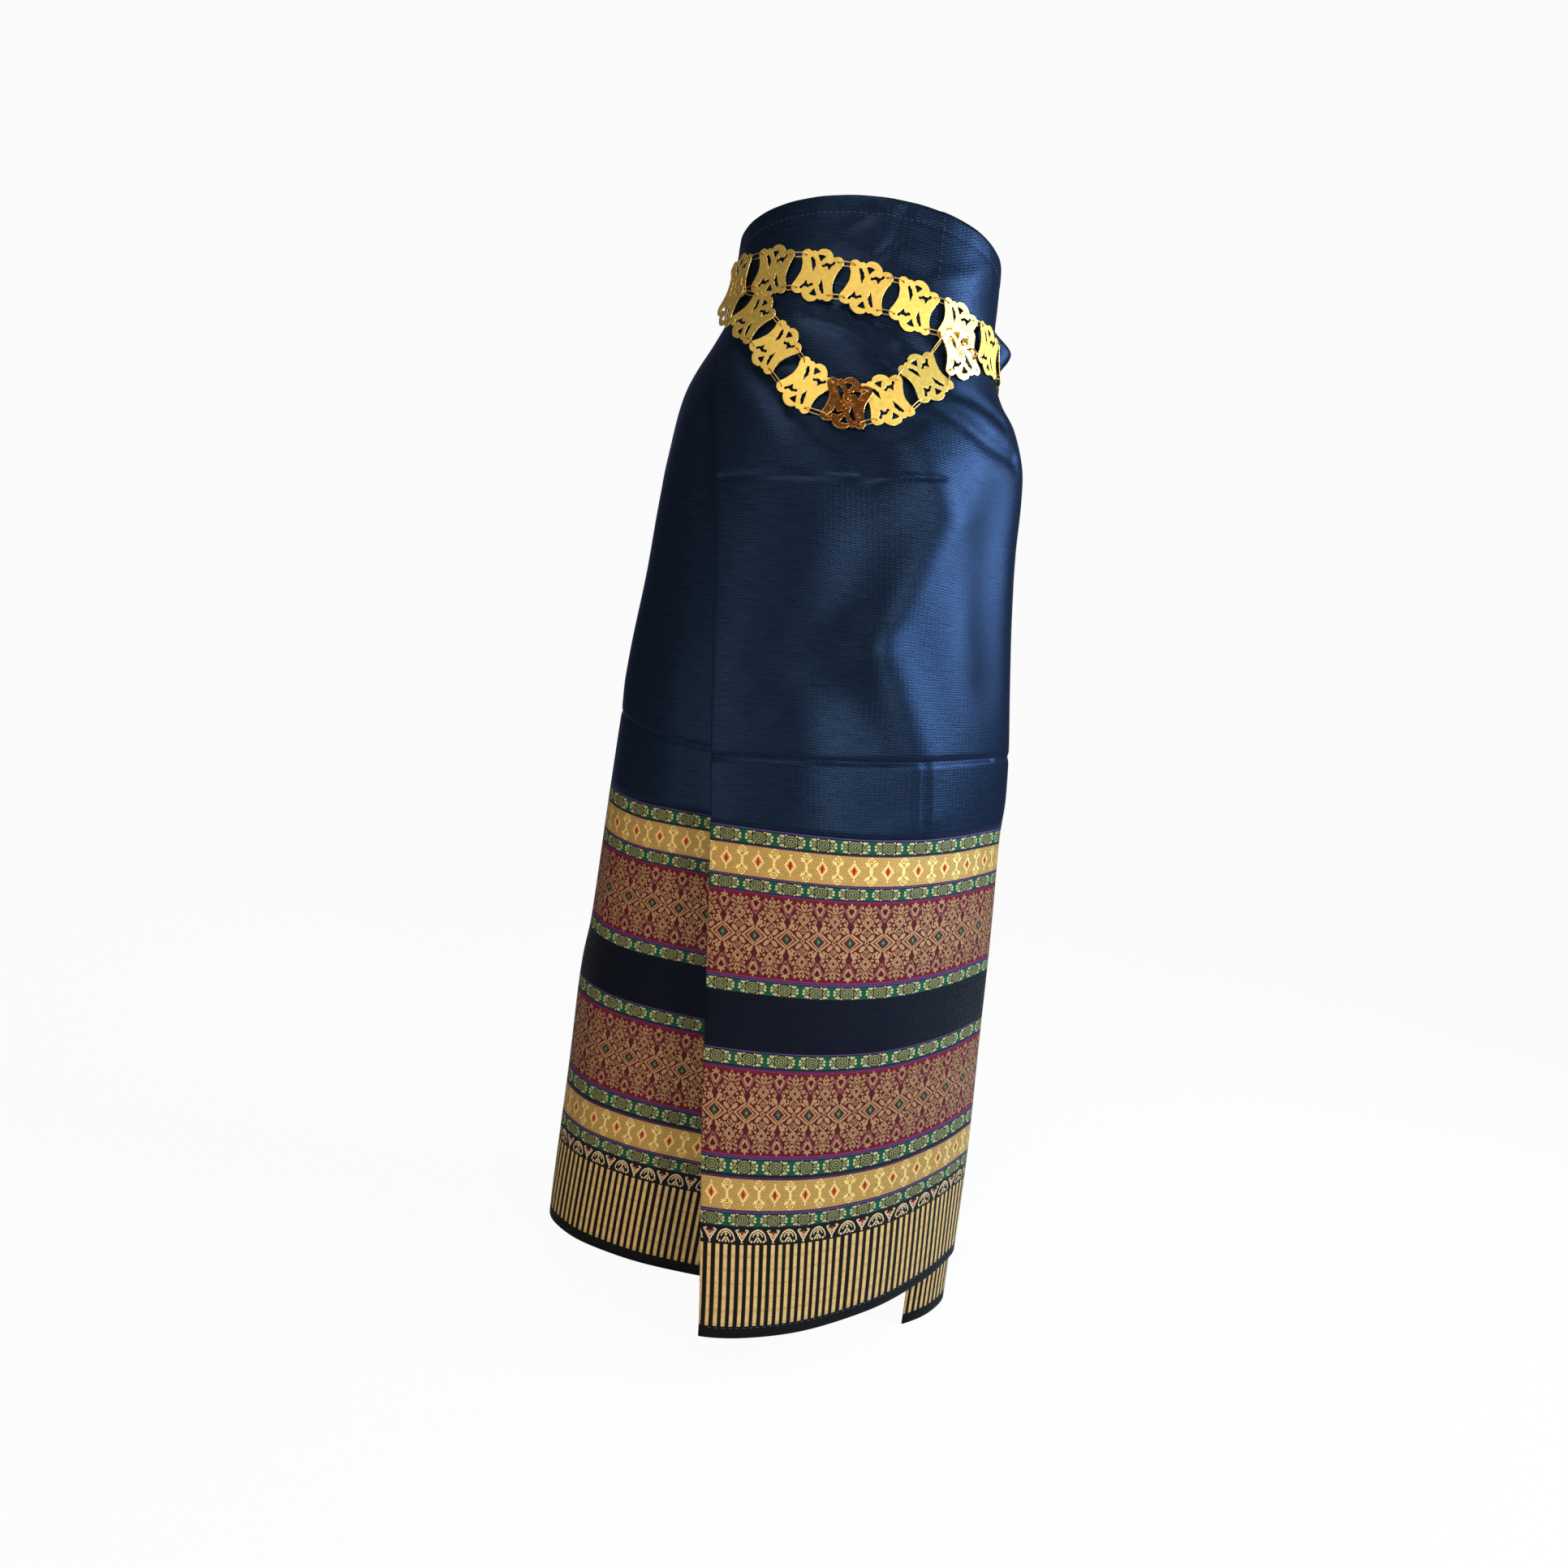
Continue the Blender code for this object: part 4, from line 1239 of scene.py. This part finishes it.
def smooth_loop(points, steps):
    """A closed line drawn smoothly through the points."""
    knots = np.array(points)
    before, after = np.roll(knots, 1, axis=0), np.roll(knots, -1, axis=0)
    beyond = np.roll(knots, -2, axis=0)
    drawn = []
    for t in np.arange(steps) / steps:
        drawn.append(0.5 * (2 * knots + (after - before) * t
                            + (2 * before - 5 * knots + 4 * after - beyond) * t ** 2
                            + (3 * knots - before - 3 * after + beyond) * t ** 3))
    return np.stack(drawn, axis=1).reshape(-1, 2)


def turned(points):
    """The points after half a turn."""
    return [(-x, -y) for x, y in points]


def grown(loop, share):
    """A loop grown or shrunk about its middle."""
    middle = loop.mean(axis=0)
    return middle + (loop - middle) * share


def plate_loops():
    """The outline and every hole, as closed lines of points."""
    outline = smooth_loop(PLATE_HALF + turned(PLATE_HALF), 5)
    side = np.abs(outline[:, 1]) < SCALLOP_END
    bite = SCALLOP * np.abs(np.sin(outline[:, 1] / SCALLOP_STEP * math.pi)) * side
    outline[:, 0] += np.sign(outline[:, 0]) * (bite - SCALLOP / 2 * side)
    loops = [outline]
    for hole in HOLES:
        loops += [grown(smooth_loop(spots, 4), HOLES_GROWN) for spots in (hole, turned(hole))]
    for x, y in EARS + turned(EARS):
        turns = np.linspace(0.0, 2.0 * math.pi, 11)[:-1]
        loops.append(np.stack([x + EAR_HOLE * np.cos(turns), y + EAR_HOLE * np.sin(turns)], axis=1))
    return loops


print("lines in one plate", len(plate_loops()))

# %% One plate
RIM_ROUND = 0.00022


def curve_mesh(name, loops, **settings):
    """A mesh made from a flat curve of closed lines."""
    curve = bpy.data.curves.new(name, "CURVE")
    curve.dimensions = "2D"
    for label, value in settings.items():
        setattr(curve, label, value)
    for loop in loops:
        line = curve.splines.new("POLY")
        line.points.add(len(loop) - 1)
        for spot, (x, y) in zip(line.points, loop):
            spot.co = (x, y, 0.0, 1.0)
        line.use_cyclic_u = True
    holder = bpy.data.objects.new(name, curve)
    mesh = bpy.data.meshes.new_from_object(holder)
    bpy.data.objects.remove(holder)
    return mesh


def plate_shape():
    """A flat plate as a bmesh, with its place as UV and its rounded rim marked."""
    mesh = curve_mesh("plate_cut", plate_loops(), fill_mode="BOTH", offset=-RIM_ROUND,
                      extrude=PLATE_THICK / 2 - RIM_ROUND, bevel_depth=RIM_ROUND,
                      bevel_resolution=1)
    shape = bmesh.new()
    shape.from_mesh(mesh)
    bpy.data.meshes.remove(mesh)
    bmesh.ops.remove_doubles(shape, verts=shape.verts, dist=0.000005)
    bmesh.ops.recalc_face_normals(shape, faces=shape.faces)
    return shape


def mark_plate(shape):
    """Writes the flat place as UV, and which faces are the rim."""
    place = shape.loops.layers.uv.new("plate")
    rim = shape.faces.layers.float.new("rim")
    for face in shape.faces:
        face[rim] = 0.0 if abs(face.normal.z) > 0.95 else 1.0
        face.smooth = face[rim] > 0.5
        for corner in face.loops:
            corner[place].uv = corner.vert.co.xy


shape = plate_shape()
mark_plate(shape)
pattern = bpy.data.meshes.new("plate_pattern")
shape.to_mesh(pattern)
shape.free()
print("faces in one plate", len(pattern.polygons))

# %% [markdown]
# ## Raised work
# Two plates of the swag show their stamped front. Its relief is added as real metal: rounded lines
# round the holes, a flower of eight petals in the middle and a scroll in each quarter. All of it
# starts from plain bmesh shapes and is sunk a little into the plate.

# %% Relief of a plate's front
FLOWER_PETALS = 8
LINE_ROUND = 0.00042
CURLS = [(0.0118, 0.0060), (-0.0118, -0.0060), (0.0120, -0.0095), (-0.0120, 0.0095)]


def add_dome(shape, place, size, turn):
    """A flattened ball, as for a petal or a knob."""
    matrix = (Matrix.Translation(place) @ Matrix.Rotation(turn, 4, "Z")
              @ Matrix.Diagonal((*size, 1.0)))
    bmesh.ops.create_uvsphere(shape, u_segments=14, v_segments=8, radius=1.0, matrix=matrix)


def add_lines(shape, loops, height):
    """Rounded lines along closed loops, at that height."""
    mesh = curve_mesh("lines_cut", loops, dimensions="3D", fill_mode="FULL", bevel_depth=LINE_ROUND,
                      bevel_resolution=1)
    mesh.transform(Matrix.Translation((0.0, 0.0, height)))
    shape.from_mesh(mesh)
    bpy.data.meshes.remove(mesh)


def front_relief(shape):
    """Lines, flower and scrolls on the front of a plate."""
    top = PLATE_THICK / 2
    loops = plate_loops()
    add_lines(shape, [grown(loops[0], 0.955)] + [grown(loop, 1.30) for loop in loops[1:7]], top)
    for n in range(FLOWER_PETALS):
        turn = 2.0 * math.pi * n / FLOWER_PETALS
        reach = 0.0040 if n % 2 == 0 else 0.0031
        place = (reach * math.cos(turn), reach * math.sin(turn), top)
        add_dome(shape, place, (0.0021, 0.0010, 0.0007), turn)
    add_dome(shape, (0.0, 0.0, top), (0.0014, 0.0014, 0.0011), 0.0)
    for x, y in CURLS:
        curl = [(x + r * math.cos(a), y + r * math.sin(a))
                for r, a in ((0.0019, 0.7 * n) for n in range(9))]
        add_lines(shape, [np.array(curl)], top)
        add_dome(shape, (x, y, top), (0.0009, 0.0009, 0.0007), 0.0)


print("petals", FLOWER_PETALS, "scrolls", len(CURLS))

# %% [markdown]
# ## Hanging the chain
# Each plate is one piece that stands for its own CAD solid. Its points are moved to their place in
# the skirt, so that the object itself stays at the origin.

# %% Plates in their places
FRONT_FACING = {"swag_plate_5": bronze_front, "swag_plate_8": gilt_front}
KNOB = (0.0045, 0.0070)    # a small raised knob on the last plate


def hang_plate(node, place):
    """The piece that stands for that node, moved to its place."""
    shape = bmesh.new()
    shape.from_mesh(pattern)
    if node in FRONT_FACING:
        front_relief(shape)
        if node == "swag_plate_8":
            add_dome(shape, (*KNOB, PLATE_THICK), (0.0020, 0.0020, 0.0016), 0.0)
        bmesh.ops.recalc_face_normals(shape, faces=shape.faces)
    shape.transform(place)
    piece = finish_piece(node.replace("plate", "link"), shape,
                         [FRONT_FACING.get(node, gilt_back)], "gilt_plate", smooth=False)
    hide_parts(node)
    return piece


for n, place in enumerate(TURN):
    hang_plate(f"belt_plate_{n + 1:02d}", place)
for n, place in enumerate(SWAG_PLACES):
    hang_plate(f"swag_plate_{n + 1}", place)
print("plates hung", len(TURN) + len(SWAG_PLACES))

# %% [markdown]
# ## Wire rings
# Two small oval rings of wire join each pair of plates through the holes in their ears. A ring is
# a circle spun round an axis and stretched, then turned so that it runs from hole to hole.

# %% Rings between the plates
WIRE = 0.00050
RING_HALF_WIDTH = 0.0019
RING_LEAN = math.radians(52.0)
RING_OVER = 0.0011     # how far a ring reaches beyond each hole's middle


def add_ring(shape, start, end, outward):
    """An oval ring of wire from start to end, leaning out of the plates' plane."""
    way = end - start
    side = outward.cross(way).normalized()
    outward = way.cross(side).normalized()
    lean = side * math.cos(RING_LEAN) + outward * math.sin(RING_LEAN)
    half = way.length / 2 + RING_OVER
    made = bmesh.ops.create_circle(shape, segments=7, radius=WIRE,
                                   matrix=Matrix.Translation((1.0, 0.0, 0.0))
                                   @ Matrix.Rotation(math.pi / 2, 4, "X"))
    edges = list({edge for vert in made["verts"] for edge in vert.link_edges})
    bmesh.ops.spin(shape, geom=made["verts"] + edges, cent=(0, 0, 0), axis=(0, 0, 1),
                   angle=2.0 * math.pi, steps=22, use_merge=True)
    fresh = [vert for vert in shape.verts if not vert.tag]
    for vert in fresh:
        vert.tag = True
        flat = Vector((vert.co.x, vert.co.y, 0.0))
        round_way = flat.normalized()
        aside = flat.length - 1.0
        spot = Vector((round_way.x * half, round_way.y * RING_HALF_WIDTH, 0.0))
        normal = Vector((round_way.x / half, round_way.y / RING_HALF_WIDTH, 0.0)).normalized()
        spot += normal * aside
        vert.co = ((start + end) / 2 + way.normalized() * spot.x + lean * spot.y
                   + way.normalized().cross(lean) * vert.co.z + outward * 0.0003)


def link_rings(shape, first, second):
    """The two rings that join the right side of one plate to the left side of the next."""
    for right, left in zip(EARS, reversed(turned(EARS))):
        start, end = first @ Vector((*right, 0.0)), second @ Vector((*left, 0.0))
        outward = (first.col[2].xyz + second.col[2].xyz).normalized()
        add_ring(shape, start, end, outward)


shape = bmesh.new()
for first, second in zip(TURN, TURN[1:] + TURN[:1]):
    link_rings(shape, first, second)
for first, second in zip(SWAG_PLACES, SWAG_PLACES[1:]):
    link_rings(shape, first, second)
bmesh.ops.recalc_face_normals(shape, faces=shape.faces)
rings = finish_piece("wire_rings", shape, [wire_gold], "gilt_plate")
print("faces in the rings", len(rings.data.polygons))

# %% [markdown]
# ## The hook
# The chain closes with a small bent hook on the last plate of the swag. It is a tube: a circle
# carried along a short line of points, so that its thickness stays even round the bend.

# %% Hook
HOOK_LINE = [(0.0080, 0.0022, 0.0002), (0.0112, 0.0020, 0.0022), (0.0142, 0.0008, 0.0030),
             (0.0156, -0.0020, 0.0030), (0.0150, -0.0052, 0.0020), (0.0132, -0.0064, 0.0008)]
HOOK_ROUND = 0.00085
HOOK_SIDES = 10


def add_tube(shape, line, radius):
    """A closed tube along a line of points, with a flat end on either side."""
    line = [Vector(spot) for spot in line]
    rings = []
    for n, spot in enumerate(line):
        way = (line[min(n + 1, len(line) - 1)] - line[max(n - 1, 0)]).to_track_quat("Z", "Y")
        matrix = Matrix.Translation(spot) @ way.to_matrix().to_4x4()
        rings.append(bmesh.ops.create_circle(shape, segments=HOOK_SIDES, radius=radius,
                                             matrix=matrix)["verts"])
    for one, two in zip(rings, rings[1:]):
        for n in range(HOOK_SIDES):
            m = (n + 1) % HOOK_SIDES
            shape.faces.new((one[n], one[m], two[m], two[n]))
    for ring_verts in (rings[0], rings[-1]):
        shape.faces.new(ring_verts)


shape = bmesh.new()
add_tube(shape, HOOK_LINE, HOOK_ROUND)
bmesh.ops.recalc_face_normals(shape, faces=shape.faces)
shape.transform(SWAG_PLACES[-1])
hook = finish_piece("belt_hook", shape, [bronze_front], "gilt_plate")
print("faces in the hook", len(hook.data.polygons))

# %% [markdown]
# ## Stitches
# Rows of hand stitches hold the head band's turning, the edge where it laps over itself and the
# hem. Each stitch is a flattened grain of thread that lies along its row, half sunk in the cloth.

# %% Stitches
STITCH_LONG, STITCH_ROUND = 0.0017, 0.00030    # half length and half thickness
RIM_PITCH, LAP_PITCH, HEM_PITCH = 0.0052, 0.0070, 0.0060
LAP_POINTS = 20


def add_stitches(shape, line, outward, pitch):
    """Stitches along a line of points, each turned by the line and the cloth's outward side."""
    steps = np.linalg.norm(np.diff(line, axis=0), axis=1)
    run = np.concatenate([[0.0], np.cumsum(steps)])
    for spot in np.arange(pitch / 2, run[-1], pitch):
        n = min(int(np.searchsorted(run, spot)) - 1, len(steps) - 1)
        share = (spot - run[n]) / steps[n]
        place = Vector(line[n] + (line[n + 1] - line[n]) * share)
        way = Vector(line[n + 1] - line[n]).normalized()
        out = Vector(outward[n])
        out = (out - way * out.dot(way)).normalized()
        turn = Matrix((way, out.cross(way), out)).transposed().to_4x4()
        laid = turn @ Matrix.Rotation(math.pi / 2, 4, "Y")
        grain = Matrix.Diagonal((STITCH_ROUND, STITCH_ROUND, STITCH_LONG, 1.0))
        bmesh.ops.create_uvsphere(shape, u_segments=6, v_segments=6, radius=1.0,
                                  matrix=Matrix.Translation(place) @ laid @ grain)


def outward_of(line):
    """Level directions out of the cloth, for a row that runs towards growing angles."""
    way = np.gradient(line, axis=0)
    out = np.stack([way[:, 1], -way[:, 0], 0.0 * way[:, 0]], axis=1)
    return out / np.linalg.norm(out, axis=1)[:, None]


def head_line(angles, heights):
    """Points on the head band's outer side."""
    reach = HEAD_SHIFT + HEAD_WALL / 2 + head_relief(angles, heights)
    return cloth_point(angles, heights, reach)


shape = bmesh.new()
angles = np.linspace(0.0, 360.0, 361)
rim_row = head_line(angles, rim_height(angles) - STITCH_DOWN)
add_stitches(shape, rim_row, outward_of(rim_row), RIM_PITCH)
lap_heights = np.linspace(rim_height(LAP_ANGLE) - 0.003, 0.014, LAP_POINTS)
lap_row = head_line(np.full(LAP_POINTS, LAP_ANGLE + 1.4), lap_heights)
lap_out = np.tile(outward_of(rim_row)[int(LAP_ANGLE)], (LAP_POINTS, 1))
add_stitches(shape, lap_row, lap_out, LAP_PITCH)
hem_row = border_spots[-3, -FLAP_STEPS:]
hem_out = outward_of(hem_row)
add_stitches(shape, hem_row + WALL / 2 * hem_out, hem_out, HEM_PITCH)
sewing, tree, shader, across, up = new_material("sewing_thread", Roughness=0.55)
twist = noise(tree, across, up, 2.5)
join(tree, tint(twist, colour(8, 12, 24), colour(52, 70, 116)), shader.inputs["Base Color"])
stitches = finish_piece("stitches", shape, [sewing], "navy_satin")
print("faces in the stitches", len(stitches.data.polygons))

# %% [markdown]
# ## Camera, floor and light
# The camera stands a metre in front of the skirt, low and rolled slightly, as for the photo. The
# window was on the right and cool, so a square cool light stands close on that side and gives the
# satin its blue. A small warm one lights the front, a wide weak one fills the left and another
# hangs above. The floor runs up behind into a wall, so that no edge shows. The photo's background
# is plain white: the camera sees floor, wall and surroundings nearly white, through a mix by kind
# of ray, while the cloth only gets the soft grey light that real paper would send back.

# %% Camera
PHOTO_SIZE = 1932
FOCAL_PIXELS = 1250.0
CAMERA_PLACE = (-0.022, -1.0, -0.350)
CAMERA_DOWN, CAMERA_ROLL = 5.3, 7.0

lens = bpy.data.cameras.new("camera")
lens.sensor_width = 36.0
lens.lens = lens.sensor_width * FOCAL_PIXELS / PHOTO_SIZE
camera = bpy.data.objects.new("camera", lens)
bpy.context.scene.collection.objects.link(camera)
tilt = Matrix.Rotation(math.radians(90.0 - CAMERA_DOWN), 4, "X")
roll = Matrix.Rotation(math.radians(CAMERA_ROLL), 4, "Z")
camera.matrix_world = Matrix.Translation(CAMERA_PLACE) @ tilt @ roll
bpy.context.scene.camera = camera
print("lens", round(lens.lens, 1), "mm on a sensor of", lens.sensor_width, "mm")

# %% Floor and wall
FLOOR_GAP = 0.001
SWEEP_HALF, SWEEP_FRONT, SWEEP_BACK, SWEEP_HIGH = 6.0, -5.0, 2.5, 6.0
SWEEP_ROUND, ROUND_STEPS = 1.5, 12
SEEN_SHARE = 0.95      # how much of the white the camera sees
WHITE = (1.0, 1.0, 1.0, 1.0)


def make_sweep(floor_z):
    """A pale floor that curves up into a wall: one line of points, extruded sideways."""
    spots = [(SWEEP_FRONT, floor_z)]
    for turn in np.linspace(0.0, math.pi / 2, ROUND_STEPS + 1):
        spots.append((SWEEP_BACK + SWEEP_ROUND * math.sin(turn),
                      floor_z + SWEEP_ROUND - SWEEP_ROUND * math.cos(turn)))
    spots.append((SWEEP_BACK + SWEEP_ROUND, floor_z + SWEEP_HIGH))
    shape = bmesh.new()
    line = [shape.verts.new((-SWEEP_HALF, y, z)) for y, z in spots]
    edges = [shape.edges.new(pair) for pair in zip(line, line[1:])]
    sides = bmesh.ops.extrude_edge_only(shape, edges=edges)["geom"]
    moved = [part for part in sides if isinstance(part, bmesh.types.BMVert)]
    bmesh.ops.translate(shape, verts=moved, vec=(2.0 * SWEEP_HALF, 0.0, 0.0))
    mesh = bpy.data.meshes.new("sweep")
    shape.to_mesh(mesh)
    shape.free()
    mesh.shade_smooth()
    sweep = bpy.data.objects.new("sweep", mesh)
    bpy.context.scene.collection.objects.link(sweep)
    return sweep


def camera_only(tree, plain, seen):
    """A mix of two shaders: the second is only what the camera sees."""
    rays = tree.nodes.new("ShaderNodeLightPath")
    mix = tree.nodes.new("ShaderNodeMixShader")
    share = tree.nodes.new("ShaderNodeMath")
    share.operation = "MULTIPLY"
    share.inputs[1].default_value = SEEN_SHARE
    tree.links.new(rays.outputs["Is Camera Ray"], share.inputs[0])
    tree.links.new(share.outputs[0], mix.inputs[0])
    tree.links.new(plain.outputs[0], mix.inputs[1])
    tree.links.new(seen.outputs[0], mix.inputs[2])
    return mix


paper = bpy.data.materials.new("white_paper")
paper.use_nodes = True
tree, sheet = paper.node_tree, paper.node_tree.nodes["Principled BSDF"]
sheet.inputs["Base Color"].default_value = (0.62, 0.62, 0.62, 1.0)
sheet.inputs["Roughness"].default_value = 0.9
white = tree.nodes.new("ShaderNodeEmission")
white.inputs["Color"].default_value = WHITE
mixed = camera_only(tree, sheet, white)
tree.links.new(mixed.outputs[0], tree.nodes["Material Output"].inputs["Surface"])
sweep = make_sweep(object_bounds()[0][2] - FLOOR_GAP)
sweep.data.materials.append(paper)
print("faces in the floor and wall", len(sweep.data.polygons))

# %% Light
LIGHTS = [  # name, place, aim, size, power, colour
    ("window", (1.55, -0.35, 0.30), (0.05, 0.0, -0.10), 0.80, 56.0, (0.58, 0.78, 1.00)),
    ("key", (0.95, -2.0, 0.10), (0.0, 0.0, -0.50), 0.4, 24.0, (1.00, 0.94, 0.84)),
    ("fill", (-1.2, -1.9, -0.3), (0.0, 0.0, -0.60), 1.2, 15.0, (1.00, 0.92, 0.80)),
    ("top", (-0.3, -0.9, 1.5), (0.0, 0.0, -0.1), 0.8, 12.0, (1.00, 0.97, 0.92)),
]
WORLD_LIGHT = 0.14

for name, place, aim, size, power, shade in LIGHTS:
    lamp = bpy.data.lights.new(name, "AREA")
    lamp.shape = "SQUARE"
    lamp.size = size
    lamp.energy = power
    lamp.color = shade
    stand = bpy.data.objects.new(name, lamp)
    bpy.context.scene.collection.objects.link(stand)
    way = Vector(aim) - Vector(place)
    stand.matrix_world = Matrix.Translation(place) @ way.to_track_quat("-Z", "Y").to_matrix().to_4x4()

world = bpy.data.worlds.new("studio")
bpy.context.scene.world = world
world.use_nodes = True
tree, dim = world.node_tree, world.node_tree.nodes["Background"]
dim.inputs["Color"].default_value = WHITE
dim.inputs["Strength"].default_value = WORLD_LIGHT
bright = tree.nodes.new("ShaderNodeBackground")
bright.inputs["Color"].default_value = WHITE
mixed = camera_only(tree, dim, bright)
tree.links.new(mixed.outputs[0], tree.nodes["World Output"].inputs["Surface"])
bpy.context.scene.view_settings.view_transform = "Standard"
bpy.context.scene.cycles.use_denoising = True
print("lights", [row[0] for row in LIGHTS])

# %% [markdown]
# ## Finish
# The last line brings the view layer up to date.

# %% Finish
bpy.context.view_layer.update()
